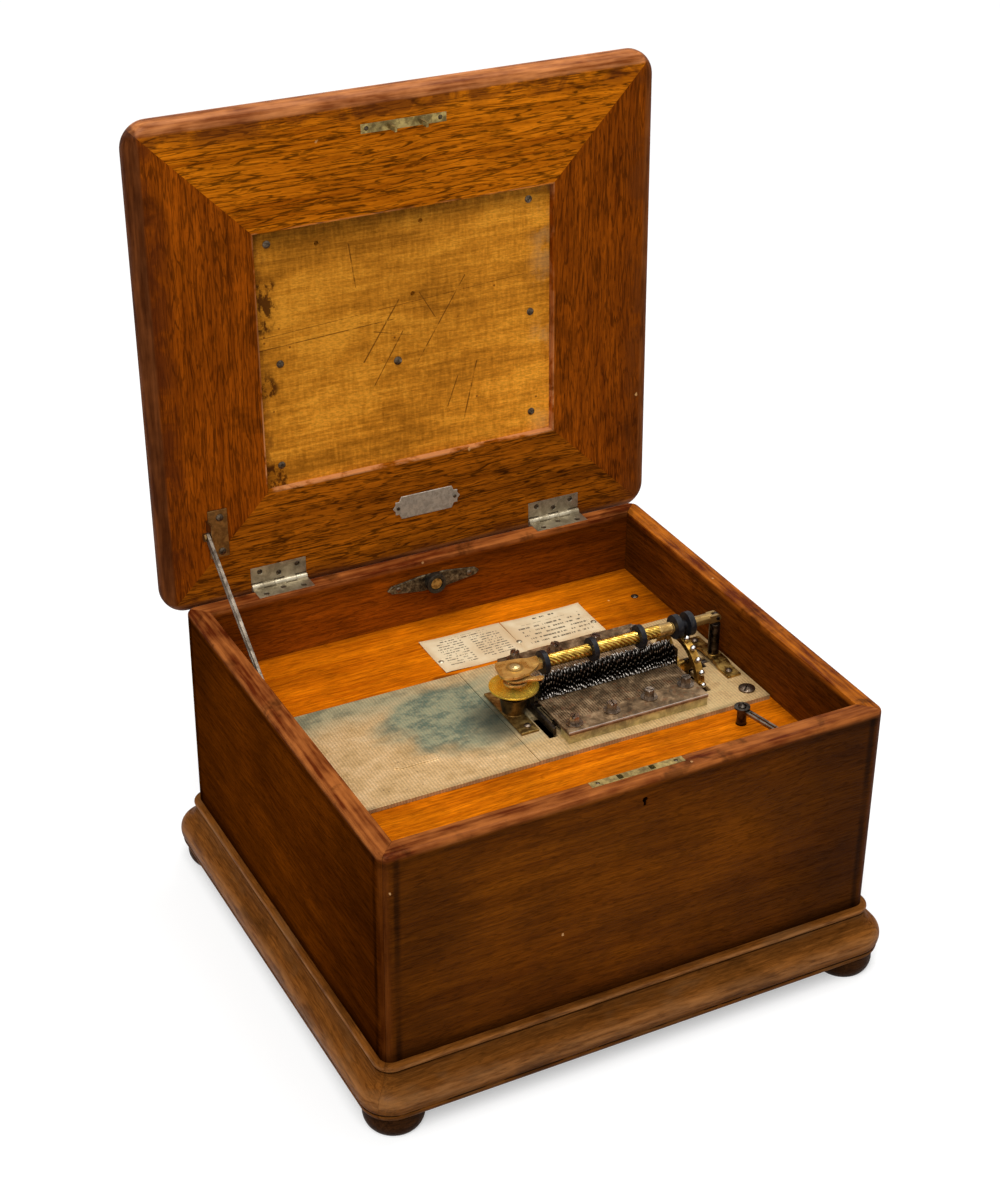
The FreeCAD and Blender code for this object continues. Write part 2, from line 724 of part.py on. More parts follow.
def hinge_case_leaves():
    parts = []
    for x in HINGE_CENTRES:
        half = HINGE_LEN / 2
        y0 = HINGE_Y - KNUCKLE_R - LEAF_REACH
        leaf = box(x - half, x + half, y0, CASE_D / 2 + 0.6, RIM_Z - LEAF_T, RIM_Z)
        pieces = [leaf]
        for a, b in knuckle_spans(x, True):
            tab = box(a, b, CASE_D / 2 + 0.5, HINGE_Y - 2.0, RIM_Z - LEAF_T, RIM_Z)
            pieces += [tab, rod_x(a, b, KNUCKLE_R, HINGE_Y, HINGE_Z)]
        whole = join(pieces).cut(rod_x(x - half - 1, x + half + 1, HINGE_PIN_R, HINGE_Y, HINGE_Z))
        for step, along in LEAF_SCREWS:
            hole = rod_z(RIM_Z - LEAF_T - 1, RIM_Z + 1, LEAF_SCREW_R + 0.05, x + step, HINGE_Y - along)
            whole = whole.cut(hole)
        parts.append(whole)
        parts.append(rod_x(x - half, x + half, HINGE_PIN_R, HINGE_Y, HINGE_Z))
    return Part.makeCompound(parts)


def hinge_lid_leaves():
    leaves = []
    for x in HINGE_CENTRES:
        half = HINGE_LEN / 2
        leaf = box(x - half, x + half, KNUCKLE_R + 0.8, KNUCKLE_R + LEAF_REACH, -LEAF_T, 0)
        pieces = [leaf]
        for a, b in knuckle_spans(x, False):
            tab = box(a, b, 2.0, KNUCKLE_R + 0.9, -LEAF_T, 0)
            pieces += [tab, rod_x(a, b, KNUCKLE_R, 0, 0)]
        whole = join(pieces).cut(rod_x(x - half - 1, x + half + 1, HINGE_PIN_R + 0.05, 0, 0))
        for step, along in LEAF_SCREWS:
            whole = whole.cut(rod_z(-LEAF_T - 1, 1, LEAF_SCREW_R + 0.05, x + step, along))
        leaves.append(lid_turn(whole))
    return Part.makeCompound(leaves)


def case_screws():
    screws = []
    for centre in HINGE_CENTRES:
        for step, along in LEAF_SCREWS:
            foot = V(centre + step, HINGE_Y - along, RIM_Z - LEAF_T)
            screws.append(screw_at(foot, V(0, 0, 1), LEAF_SCREW_R, LEAF_T - 0.1, 20 + step))
    for x in (-33.5, 33.5):
        screws.append(screw_at(V(x, LOCK_MID, RIM_Z - 1.2), V(0, 0, 1), 1.6, 1.1, 30))
    for x in (-34.0, 34.0):
        screws.append(screw_at(V(BOSS_X + x, IN_Y - 2.0, BOSS_Z), V(0, -1, 0), 2.4, 1.2, 30))
    return Part.makeCompound(screws)


# Combs on their blocks, front and rear alike about the star wheel row
def mirrored(shape):
    return shape.mirror(V(0, ROW_Y, 0), V(0, 1, 0))


ROOT_LEFT = -40.5
ROOT_RIGHT = -29.0
FRONT_BOLT_X = (23.0, 59.3, 96.3, 133.0)
REAR_BOLT_X = (25.0, 61.5, 99.0, 135.0)
FRONT_BOLT_GAP = 5.8
REAR_BOLT_GAP = 13.2
BOLT_HOLE_R = 2.6


def root_line(x):
    share = (x - COMB_X0) / (COMB_X1 - COMB_X0)
    return ROOT_LEFT + share * (ROOT_RIGHT - ROOT_LEFT)


def bolt_places(places, gap):
    return [(x, root_line(x) - gap) for x in places]


FRONT_BOLTS = bolt_places(FRONT_BOLT_X, FRONT_BOLT_GAP)
REAR_BOLTS = bolt_places(REAR_BOLT_X, REAR_BOLT_GAP)
COMB_BOLT_XY = FRONT_BOLTS + [(x, 2 * ROW_Y - y) for x, y in REAR_BOLTS]


def comb_block(outer, bolts):
    z1 = COMB_TOP - COMB_T
    block = prism_z([(COMB_X0 + 0.4, outer + 0.4), (COMB_X1 - 0.6, outer + 0.4),
                     (COMB_X1 - 0.6, ROOT_RIGHT - 1), (COMB_X0 + 0.4, ROOT_LEFT - 1)], PLATE_Z, z1)
    for x, y in bolts:
        block = block.cut(rod_z(PLATE_Z - 1, z1 + 1, BOLT_HOLE_R, x, y))
    return block


def comb_plate(outer, bolts):
    """One comb: a thick heel with long teeth, thinned from below towards their tips."""
    low = COMB_TOP - COMB_T
    plate = box(COMB_X0, COMB_X1, outer, COMB_TIP, low, COMB_TOP)
    thin = COMB_TOP - 1.2
    hollow = [(ROOT_LEFT + 3, low - 1), (COMB_TIP + 1, low - 1), (COMB_TIP + 1, thin), (COMB_TIP - 14, thin)]
    plate = plate.cut(prism_x(hollow, COMB_X0 - 1, COMB_X1 + 1))
    pitch = (COMB_X1 - COMB_X0) / TEETH
    slits = []
    for i in range(1, TEETH):
        x = COMB_X0 + i * pitch
        slits.append(box(x - SLIT / 2, x + SLIT / 2, root_line(x), COMB_TIP + 1, low - 1, COMB_TOP + 1))
    for x, y in bolts:
        slits.append(rod_z(low - 1, COMB_TOP + 1, BOLT_HOLE_R, x, y))
    return plate.cut(Part.makeCompound(slits))


def comb_blocks():
    front = comb_block(COMB_FRONT, FRONT_BOLTS)
    rear = mirrored(comb_block(COMB_REAR, REAR_BOLTS))
    return Part.makeCompound([front, rear])


def combs():
    front = comb_plate(COMB_FRONT, FRONT_BOLTS)
    rear = mirrored(comb_plate(COMB_REAR, REAR_BOLTS))
    return Part.makeCompound([front, rear])


# Hexagonal bolts with a slot across the head and a washer under it
BOLT_HEAD_R = 4.4
BOLT_HEAD_H = 7.0
BOLT_SHANK_R = 2.5
WASHER_R = 7.0
WASHER_T = 1.0


def hex_points(x, y, r):
    angles = [math.radians(60 * k) for k in range(6)]
    return [(x + r * math.cos(a), y + r * math.sin(a)) for a in angles]


def comb_bolts():
    bolts = []
    seat = COMB_TOP + WASHER_T
    top = seat + BOLT_HEAD_H
    for index, (x, y) in enumerate(COMB_BOLT_XY):
        washer = rod_z(COMB_TOP, seat, WASHER_R, x, y)
        head = prism_z(hex_points(x, y, BOLT_HEAD_R), seat, top)
        head = head.common(Part.makeCone(7.0, 3.8, BOLT_HEAD_H, V(x, y, seat)))
        shank = rod_z(DECK_Z - 3, COMB_TOP + 0.5, BOLT_SHANK_R, x, y)
        slot = Part.makeBox(12, 1.1, 2.2, V(-6, -0.55, -2.2))
        slot.rotate(V(0, 0, 0), V(0, 0, 1), 35 + 47 * index)
        slot.translate(V(x, y, top + 0.01))
        bolts.append(join([washer, head, shank]).cut(slot))
    return Part.makeCompound(bolts)


# Star wheels in a row, each over one pair of teeth
def star_points():
    points = []
    for k in range(2 * STAR_POINTS):
        r = STAR_R if k % 2 == 0 else STAR_ROOT_R
        a = math.radians(k * 180.0 / STAR_POINTS + 22.5)
        points.append((ROW_Y + r * math.cos(a), STAR_Z + r * math.sin(a)))
    return points


STAR_T = 1.1
AXLE_R = 1.5
CARRIER_Y = 5.0


def star_wheels():
    pitch = (COMB_X1 - COMB_X0) / TEETH
    star = prism_x(star_points(), 0, STAR_T).cut(rod_x(-1, STAR_T + 1, AXLE_R + 0.05, ROW_Y, STAR_Z))
    stars = []
    for i in range(1, TEETH):
        one = star.copy()
        one.translate(V(COMB_X0 + (i + 0.5) * pitch - STAR_T / 2, 0, 0))
        stars.append(one)
    return Part.makeCompound(stars)


def star_carrier():
    pieces = []
    for x0, x1 in ((COMB_X0 - 5.5, COMB_X0 - 2.0), (COMB_X1 + 1.2, COMB_X1 + 4.2)):
        pieces.append(box(x0, x1, ROW_Y - CARRIER_Y, ROW_Y + CARRIER_Y, PLATE_Z, STAR_Z + 4))
    pieces.append(box(COMB_X0 - 5.5, COMB_X1 + 4.2, ROW_Y - 2, ROW_Y + 2, PLATE_Z, PLATE_Z + 4))
    pieces.append(rod_x(COMB_X0 - 4, COMB_X1 + 3, AXLE_R, ROW_Y, STAR_Z))
    pieces.append(box(COMB_X0 - 5.5, COMB_X0 - 2.6, -40.0, ROW_Y, PLATE_Z + 0.5, PLATE_Z + 7))
    return join(pieces)


# Damper wires under the tooth tips
def dampers():
    pitch = (COMB_X1 - COMB_X0) / TEETH
    wires = []
    for i in range(TEETH):
        x = COMB_X0 + (i + 0.5) * pitch
        y0 = root_line(x) - 0.7
        wire = box(x - 0.3, x + 0.3, y0, COMB_TIP - 1.5, PLATE_Z + 4.2, PLATE_Z + 4.8)
        wires += [wire, mirrored(wire)]
    rail = box(COMB_X0 + 1, COMB_X1 - 1, -28.5, -26.0, PLATE_Z, PLATE_Z + 5.4)
    rail = rail.cut(Part.makeCompound([w for w in wires[::2]]))
    return Part.makeCompound(wires + [rail, mirrored(rail)])


# Spindle post on its strap, with the dished rest for the disc
SPINDLE_R = 3.0
SPINDLE_TOP = 227.5


def spindle_post():
    strap = box(SPINDLE_X - 10, SPINDLE_X + 6.0, -29, 38, PLATE_Z, PLATE_Z + STRAP_T)
    cup = Part.makeCone(9.5, 12.0, 15, V(SPINDLE_X, ROW_Y, PLATE_Z + STRAP_T))
    cup = cup.cut(box(COMB_X0 - 7, COMB_X0 + 20, -20, 30, PLATE_Z, DISH_Z))
    pin = rod_z(PLATE_Z + STRAP_T, SPINDLE_TOP, SPINDLE_R, SPINDLE_X, ROW_Y)
    return join([strap, cup, pin])


def disc_rest():
    """A shallow cone on a collar, turning freely on the spindle pin."""
    z = DISH_Z
    bore = SPINDLE_R + 0.05
    under = [(bore, z - 7), (5.0, z - 7), (5.0, z - 3), (DISH_R - 3, z - 1), (DISH_R, z)]
    over = [(DISH_R, z + 1.6), (DISH_R - 1.2, z + 1.6), (6.5, z + DISH_RISE), (bore, z + DISH_RISE)]
    profile = under + over
    wire = Part.makePolygon([V(r, 0, h) for r, h in profile + profile[:1]])
    dish = Part.Face(wire).revolve(V(0, 0, 0), V(0, 0, 1), 360)
    dish.translate(V(SPINDLE_X, ROW_Y, 0))
    return dish


# Drive wheel: a brass rim with ball-headed pins, on the main arbor
def drive_wheel():
    rim = rod_x(WHEEL_X - 3.2, WHEEL_X + 3.2, PIN_CIRCLE - 2.6, ROW_Y, WHEEL_Z)
    rim = rim.cut(rod_x(WHEEL_X - 4, WHEEL_X + 4, PIN_CIRCLE - 8.0, ROW_Y, WHEEL_Z))
    spokes = []
    for k in range(4):
        spoke = box(WHEEL_X - 1.5, WHEEL_X + 1.5, -4, 4, 6, PIN_CIRCLE - 7)
        spoke.rotate(V(WHEEL_X, 0, 0), V(1, 0, 0), 90 * k + 45)
        spoke.translate(V(0, ROW_Y, WHEEL_Z))
        spokes.append(spoke)
    hub = rod_x(WHEEL_X - 4.5, WHEEL_X + 4.5, 9.0, ROW_Y, WHEEL_Z)
    wheel = join([rim, hub] + spokes)
    pins = []
    for k in range(PIN_COUNT):
        a = math.radians(360.0 * (k + 0.35) / PIN_COUNT)
        c, s = math.cos(a), math.sin(a)
        root = PIN_CIRCLE - 6.5
        stem = Part.makeCylinder(1.5, 6.0, V(WHEEL_X, ROW_Y + root * c, WHEEL_Z + root * s), V(0, c, s))
        ball = Part.makeSphere(BALL_R, V(WHEEL_X, ROW_Y + PIN_CIRCLE * c, WHEEL_Z + PIN_CIRCLE * s))
        pins.append(stem.fuse(ball))
    wheel = join([wheel] + pins)
    return wheel.cut(rod_x(WHEEL_X - 6, WHEEL_X + 6, ARBOR_R, ROW_Y, WHEEL_Z))


# Involute-like straight-flanked teeth on a gear whose axis runs along X
def gear(teeth, x0, x1, y, z, phase, bore, module=MODULE):
    pitch_r = module * teeth / 2
    tip_r = pitch_r + 0.9 * module
    root_r = pitch_r - 1.2 * module
    rising = [(root_r, -0.33), (pitch_r, -0.215), (tip_r, -0.10)]
    falling = [(tip_r, 0.10), (pitch_r, 0.215), (root_r, 0.33)]
    points = []
    step = 360.0 / teeth
    for k in range(teeth):
        for r, share in rising + falling:
            a = math.radians(phase + (k + share) * step)
            points.append((y + r * math.cos(a), z + r * math.sin(a)))
    solid = prism_x(points, x0, x1)
    if bore > 0:
        solid = solid.cut(rod_x(x0 - 1, x1 + 1, bore, y, z))
    return solid


def drive_arbor():
    """The main arbor with its pinion, standing on the great wheel's top."""
    gap = 180.0 / PINION_TEETH
    shaft = rod_x(138.0, GEAR_X1 + 9, ARBOR_R, ROW_Y, WHEEL_Z)
    pinion = gear(PINION_TEETH, GEAR_X0 + 0.5, GEAR_X1 - 0.5, ROW_Y, WHEEL_Z, -90 + gap, 0)
    return join([shaft, pinion])


def arbor_bearings():
    blocks = []
    for x0, x1 in ((139.5, 145.0), (171.0, 176.0)):
        foot = box(x0, x1, ROW_Y - 12, ROW_Y + 12, DECK_Z - 12, DECK_Z)
        boss = box(x0, x1, ROW_Y - 5.3, ROW_Y + 5.3, DECK_Z, PLATE_Z)
        if x0 > WHEEL_X:
            foot = box(x0, x1, ROW_Y - 14, ROW_Y + 14, DECK_Z - 12, DECK_Z)
            boss = box(x0, GEAR_X1 + 3.8, ROW_Y - 9.0, ROW_Y + 9.0, DECK_Z, PLATE_Z)
        block = join([foot, boss]).cut(rod_x(x0 - 1, x1 + 1, ARBOR_R + 0.05, ROW_Y, WHEEL_Z))
        blocks.append(block)
    return Part.makeCompound(blocks)


# Post that carries the pressure bar
POST_R = 4.8
TONGUE_HALF = 1.5
BAR_PIN_R = 1.6


def bar_post():
    strap_z = PLATE_Z + 5.0
    x0, x1 = BAR_PIVOT_X - 6.5, BAR_PIVOT_X + 6.5
    low = PLATE_Z + STRAP_T
    strap = [box(x0, x1, -30, -16, PLATE_Z, low), box(x0, x1, 24, 38, PLATE_Z, low)]
    over = [(-16, PLATE_Z), (-16, low), (-8, strap_z), (17, strap_z), (24, low)]
    under = [(24, PLATE_Z), (16, strap_z - STRAP_T), (-7, strap_z - STRAP_T)]
    strap.append(prism_x(over + under, x0, x1))
    post = rod_z(strap_z - 1, BAR_Z - 6.5, POST_R, BAR_PIVOT_X, ROW_Y)
    tongue = box(-3.6, 3.6, ROW_Y - TONGUE_HALF, ROW_Y + TONGUE_HALF, BAR_Z - 7, BAR_Z)
    tongue.translate(V(BAR_PIVOT_X, 0, 0))
    head = rod_y(ROW_Y - TONGUE_HALF, ROW_Y + TONGUE_HALF, 3.6, BAR_PIVOT_X, BAR_Z)
    pin = rod_y(ROW_Y - FORK_HALF - 1.0, ROW_Y + FORK_HALF + 1.0, BAR_PIN_R, BAR_PIVOT_X, BAR_Z)
    return join(strap + [post, tongue, head, pin])


# Pressure bar: a rod with a stepped axle at its right and a latch plate at its left
CORE_R = 4.4
AXLE_THIN_R = 2.9
AXLE_X1 = 163.2
FORK_HALF = 4.2
LATCH_X = SPINDLE_X - 1.5
LATCH_Y = ROW_Y - 1.0
LATCH_PIN_R = 1.6
LATCH_PLATE = ((-15.6, 15.7), (0.0, 13.5), (11.0, 9.0), (14.9, 3.8), (6.6, -6.8),
               (-4.0, -11.0), (-14.1, -11.5), (-21.5, -7.5), (-21.5, 3.0))
LATCH_PLATE_Z = BAR_Z + 1.6
LATCH_PLATE_T = 2.2
RING_X = -7.0
RING_Y = 1.5


def leaf(points, z0, z1):
    """A flat leaf with a smooth closed outline through the given points."""
    curve = Part.BSplineCurve()
    curve.interpolate(Points=[V(x, y, z0) for x, y in points], PeriodicFlag=True)
    return Part.Face(Part.Wire(curve.toShape())).extrude(V(0, 0, z1 - z0))


def pressure_bar():
    first = ROLLER_X[0]
    rod = rod_x(first + 3, 141.5, BAR_R, ROW_Y, BAR_Z)
    for x in ROLLER_X:
        rod = rod.cut(rod_x(x - 2.7, x + 2.7, BAR_R + 1, ROW_Y, BAR_Z))
    core = rod_x(first - 5, 143, CORE_R, ROW_Y, BAR_Z)
    axle = rod_x(142, BAR_PIVOT_X - 6, AXLE_THIN_R, ROW_Y, BAR_Z)
    shoulder = rod_x(AXLE_X1, BAR_PIVOT_X - 6, CORE_R, ROW_Y, BAR_Z)
    x0 = BAR_PIVOT_X - 7.5
    pieces = [box(x0, BAR_PIVOT_X - 4.2, ROW_Y - FORK_HALF, ROW_Y + FORK_HALF, BAR_Z - 3.4, BAR_Z + 3.4)]
    for y0, y1 in ((-FORK_HALF, -TONGUE_HALF - 0.3), (TONGUE_HALF + 0.3, FORK_HALF)):
        pieces.append(box(x0, BAR_PIVOT_X, ROW_Y + y0, ROW_Y + y1, BAR_Z - 3.4, BAR_Z + 3.4))
        pieces.append(rod_y(ROW_Y + y0, ROW_Y + y1, 3.4, BAR_PIVOT_X, BAR_Z))
    top = LATCH_PLATE_Z + LATCH_PLATE_T
    pieces.append(box(first - 12, first - 3.4, ROW_Y - 5.5, ROW_Y + 5.5, BAR_Z - 2, BAR_Z + 4.2))
    pieces.append(leaf(LATCH_PLATE, LATCH_PLATE_Z, top))
    pieces.append(rod_z(top - 0.1, top + 0.8, 7.5, RING_X, RING_Y))
    bar = join([rod, core, axle, shoulder] + pieces)
    bar = bar.cut(rod_y(ROW_Y - 8, ROW_Y + 8, BAR_PIN_R + 0.05, BAR_PIVOT_X, BAR_Z))
    screw = screw_at(V(RING_X, RING_Y, top + 0.7), V(0, 0, 1), 4.2, 2.2, 30)
    pin = rod_z(HOOK_Z[1][0] - 0.3, LATCH_PLATE_Z + 0.1, LATCH_PIN_R, LATCH_X, LATCH_Y)
    return join([bar, screw, pin])


# Swinging hook under the latch plate: two leaves joined at the left, the upper with a finger tab
HOOK_Z = ((225.5, 227.3), (229.4, 231.2))
HOOK_UPPER = ((-15.0, 9.0), (-18.0, -2.0), (-16.0, -9.0), (-9.0, -12.5), (-1.0, -13.0),
              (5.0, -15.6), (9.5, -16.2), (11.6, -13.6), (9.0, -11.2), (4.0, -10.4),
              (0.8, -7.0), (3.0, 0.0), (0.5, 7.5), (-7.0, 9.6))
HOOK_LOWER = ((-19.0, -2.0), (-17.0, -9.0), (-10.0, -12.5), (-3.0, -11.0),
              (0.0, -5.0), (-4.0, 3.0), (-14.0, 4.0))
HOOK_MOUTH_R = 6.0


def latch_hook():
    lower = leaf(HOOK_LOWER, *HOOK_Z[0])
    lower = lower.cut(rod_z(HOOK_Z[0][0] - 1, HOOK_Z[0][1] + 1, HOOK_MOUTH_R, SPINDLE_X, ROW_Y))
    upper = leaf(HOOK_UPPER, *HOOK_Z[1])
    upper = upper.cut(rod_z(HOOK_Z[1][0] - 1, HOOK_Z[1][1] + 1, LATCH_PIN_R + 0.05, LATCH_X, LATCH_Y))
    web = box(-16.8, -14.0, -6.0, -2.0, HOOK_Z[0][0], HOOK_Z[1][1])
    return join([lower, upper, web])


def thin_roller(x):
    roller = rod_x(x - 2.3, x + 2.3, ROLLER_R, ROW_Y, BAR_Z)
    return roller.cut(rod_x(x - 4, x + 4, CORE_R + 0.05, ROW_Y, BAR_Z))


def edge_roller():
    left = rod_x(143.4, 148.6, ROLLER_R + 0.4, ROW_Y, BAR_Z)
    right = rod_x(155.4, 160.6, ROLLER_R + 0.4, ROW_Y, BAR_Z)
    hub = rod_x(143.4, AXLE_X1 - 0.2, 3.6, ROW_Y, BAR_Z)
    return join([left, right, hub]).cut(rod_x(140, 166, AXLE_THIN_R + 0.05, ROW_Y, BAR_Z))


# Start and stop lever: a post through the deck, an arm above and a brake finger below
BRAKE_Z = 168.0


def stop_lever():
    post = rod_z(BRAKE_Z - 4, DECK_Z + 15.0, LEVER_R, LEVER_X, LEVER_Y)
    washer = rod_z(DECK_Z + 14.8, DECK_Z + 16.2, 6.6, LEVER_X, LEVER_Y)
    cap = screw_at(V(LEVER_X, LEVER_Y, DECK_Z + 16.0), V(0, 0, 1), 3.4, 2.6, 10)
    arm = box(0, 46.0, -2.8, 2.8, DECK_Z + 12.4, DECK_Z + 14.9)
    arm = arm.cut(box(9, 41, -0.9, 0.9, DECK_Z + 12, DECK_Z + 15.2))
    arm.rotate(V(0, 0, 0), V(0, 0, 1), -78.0)
    arm.translate(V(LEVER_X, LEVER_Y, 0))
    away_x, away_y = FAN_X - LEVER_X, fan_y() - LEVER_Y
    reach = math.hypot(away_x, away_y) - 6.0 - 0.6
    finger = box(0, reach, -2.0, 2.0, BRAKE_Z - 4, BRAKE_Z - 1)
    finger.rotate(V(0, 0, 0), V(0, 0, 1), math.degrees(math.atan2(away_y, away_x)))
    finger.translate(V(LEVER_X, LEVER_Y, 0))
    return join([post, washer, cap, arm, finger])


# Spring motor under the deck
def train_axis():
    a = math.radians(TRAIN_ANGLE)
    distance = MODULE * (GREAT_TEETH + PINION_TEETH) / 2
    return ROW_Y + distance * math.cos(a), MOTOR_Z + distance * math.sin(a)


def fan_y():
    return train_axis()[0] - WORM_WHEEL_R - WORM_R


PLATE_A = (88.0, 91.0)
PLATE_B = (176.5, 179.5)


def motor_frame():
    ty, tz = train_axis()
    plates = []
    for x0, x1 in (PLATE_A, PLATE_B):
        plate = box(x0, x1, -78, 62, 62, DECK_Z)
        plate = plate.cut(rod_x(x0 - 1, x1 + 1, 6.05, ROW_Y, MOTOR_Z))
        plate = plate.cut(rod_x(x0 - 1, x1 + 1, 2.05, ty, tz))
        plates.append(plate)
    plates[1] = plates[1].cut(rod_x(176, 180, 5.5, ROW_Y, WHEEL_Z))
    gap = box(PLATE_A[0] - 1, PLATE_B[1] + 1, -80, WELL_Y0 + 0.5, DECK_Z - BOARD_T - 0.5, DECK_Z + 1)
    plates = [plate.cut(gap) for plate in plates]
    pillars = []
    for y, z in ((-72, 68), (56, 68), (56, 168)):
        pillars.append(rod_x(PLATE_A[1], PLATE_B[0], 4.0, y, z))
    cocks = []
    for z0, z1 in ((94.0, 97.0), (158.0, 161.0)):
        cock = box(FAN_X - 6, PLATE_B[0], fan_y() - 5, fan_y() + 4, z0, z1)
        cocks.append(cock.cut(rod_z(z0 - 1, z1 + 1, 1.55, FAN_X, fan_y())))
    click_stud = rod_x(PLATE_B[1], PLATE_B[1] + 7.5, 2.0, *click_axis())
    return join(plates + pillars + cocks + [click_stud])


def spring_barrel():
    """Drum with its cap and the great wheel on its right-hand face."""
    drum = rod_x(DRUM_X0, DRUM_X1, BARREL_R, ROW_Y, MOTOR_Z)
    drum = drum.cut(rod_x(DRUM_X0 + 2.5, DRUM_X1 - 2.5, BARREL_R - 2, ROW_Y, MOTOR_Z))
    web = rod_x(DRUM_X1 - 0.5, GEAR_X0 + 2, HUB_R, ROW_Y, MOTOR_Z)
    wheel = gear(GREAT_TEETH, GEAR_X0 + 1.5, GEAR_X1 - 2.5, ROW_Y, MOTOR_Z, 90.0, 0)
    whole = join([drum, web, wheel])
    return whole.cut(rod_x(90, 180, 6.06, ROW_Y, MOTOR_Z))


def mainspring():
    """The coiled strip, drawn as nested turns against the drum wall."""
    x0, x1 = DRUM_X0 + 5, DRUM_X1 - 5
    turns = []
    for k in range(6):
        r = BARREL_R - 2.6 - 2.4 * k
        ring = rod_x(x0, x1, r, ROW_Y, MOTOR_Z).cut(rod_x(x0 - 1, x1 + 1, r - 1.0, ROW_Y, MOTOR_Z))
        turns.append(ring)
    for k in range(5):
        r = BARREL_R - 2.6 - 2.4 * k
        turns.append(box(x0, x1, ROW_Y - 2, ROW_Y + 2, MOTOR_Z + r - 2.6, MOTOR_Z + r - 0.9))
    return join(turns)


RATCHET_TEETH = 12
RATCHET_R = 15.0
RATCHET_X0 = 181.0
RATCHET_X1 = 185.0


def winding_arbor():
    shaft = rod_x(86.0, 194.0, 6.0, ROW_Y, MOTOR_Z)
    square = box(194.0, 209.0, ROW_Y - 4, ROW_Y + 4, MOTOR_Z - 4, MOTOR_Z + 4)
    points = []
    for k in range(RATCHET_TEETH):
        a = math.radians(360.0 * k / RATCHET_TEETH)
        b = math.radians(360.0 * (k + 0.92) / RATCHET_TEETH)
        points.append((ROW_Y + (RATCHET_R - 3.2) * math.cos(a), MOTOR_Z + (RATCHET_R - 3.2) * math.sin(a)))
        points.append((ROW_Y + RATCHET_R * math.cos(b), MOTOR_Z + RATCHET_R * math.sin(b)))
    ratchet = prism_x(points, RATCHET_X0, RATCHET_X1)
    return join([shaft, square, ratchet])


def click_axis():
    return ROW_Y + 7.3, MOTOR_Z + 26.9


def click():
    """A pawl whose beak lies along the ratchet's rim, just clear of a tooth's steep face."""
    cy, cz = click_axis()
    x0, x1 = RATCHET_X0 + 0.3, RATCHET_X1 - 0.3
    eye = rod_x(x0, x1, 4.2, cy, cz)
    beak = prism_x([(cy - 2.3, cz), (cy + 3.0, cz - 15.0), (cy + 4.1, cz - 18.7), (cy + 6.5, cz - 18.4),
                    (cy + 6.7, cz - 14.0), (cy + 3.7, cz)], x0, x1)
    return join([eye, beak]).cut(rod_x(x0 - 1, x1 + 1, 2.05, cy, cz))


def governor_wheel():
    """The second arbor: a pinion in the great wheel and the wheel that drives the worm."""
    ty, tz = train_axis()
    shaft = rod_x(87.0, 180.5, 2.0, ty, tz)
    gap = 180.0 / PINION_TEETH
    turn = TRAIN_ANGLE + 180 + gap
    great_phase = (TRAIN_ANGLE - 90.0) / (360.0 / GREAT_TEETH)
    offset = (great_phase - round(great_phase)) * 360.0 / PINION_TEETH
    pinion = gear(PINION_TEETH, GEAR_X0, GEAR_X1 - 1, ty, tz, turn + offset, 0)
    wheel = gear(WORM_WHEEL_TEETH, FAN_X - 1.5, FAN_X + 1.5, ty, tz, 180.0, 0, 1.0)
    return join([shaft, pinion, wheel])


FAN_R = 15.0


def governor_fan():
    """The upright worm spindle with its two-bladed fan and brake disc."""
    y = fan_y()
    tz = train_axis()[1]
    spindle = rod_z(93.0, 172.0, 1.5, FAN_X, y)
    core = rod_z(tz - 12, tz + 12, WORM_R - 1.2, FAN_X, y)
    pitch = math.pi
    helix = Part.makeHelix(pitch, 5.5 * pitch, WORM_R - 1.4)
    half = 0.42
    foot = 0.75
    inner = WORM_R - 1.4
    outer = WORM_R + 0.7
    corners = [V(inner, 0, -foot), V(outer, 0, -half), V(outer, 0, half), V(inner, 0, foot)]
    profile = Part.makePolygon(corners + corners[:1])
    thread = Part.Wire(helix).makePipeShell([profile], True, True)
    thread.translate(V(FAN_X, y, tz - 2.75 * pitch))
    disc = rod_z(BRAKE_Z - 5, BRAKE_Z, 6.0, FAN_X, y)
    blades = box(FAN_X - FAN_R, FAN_X + FAN_R, y - 0.5, y + 0.5, 101, 121)
    return join([spindle, core, thread, disc, blades])


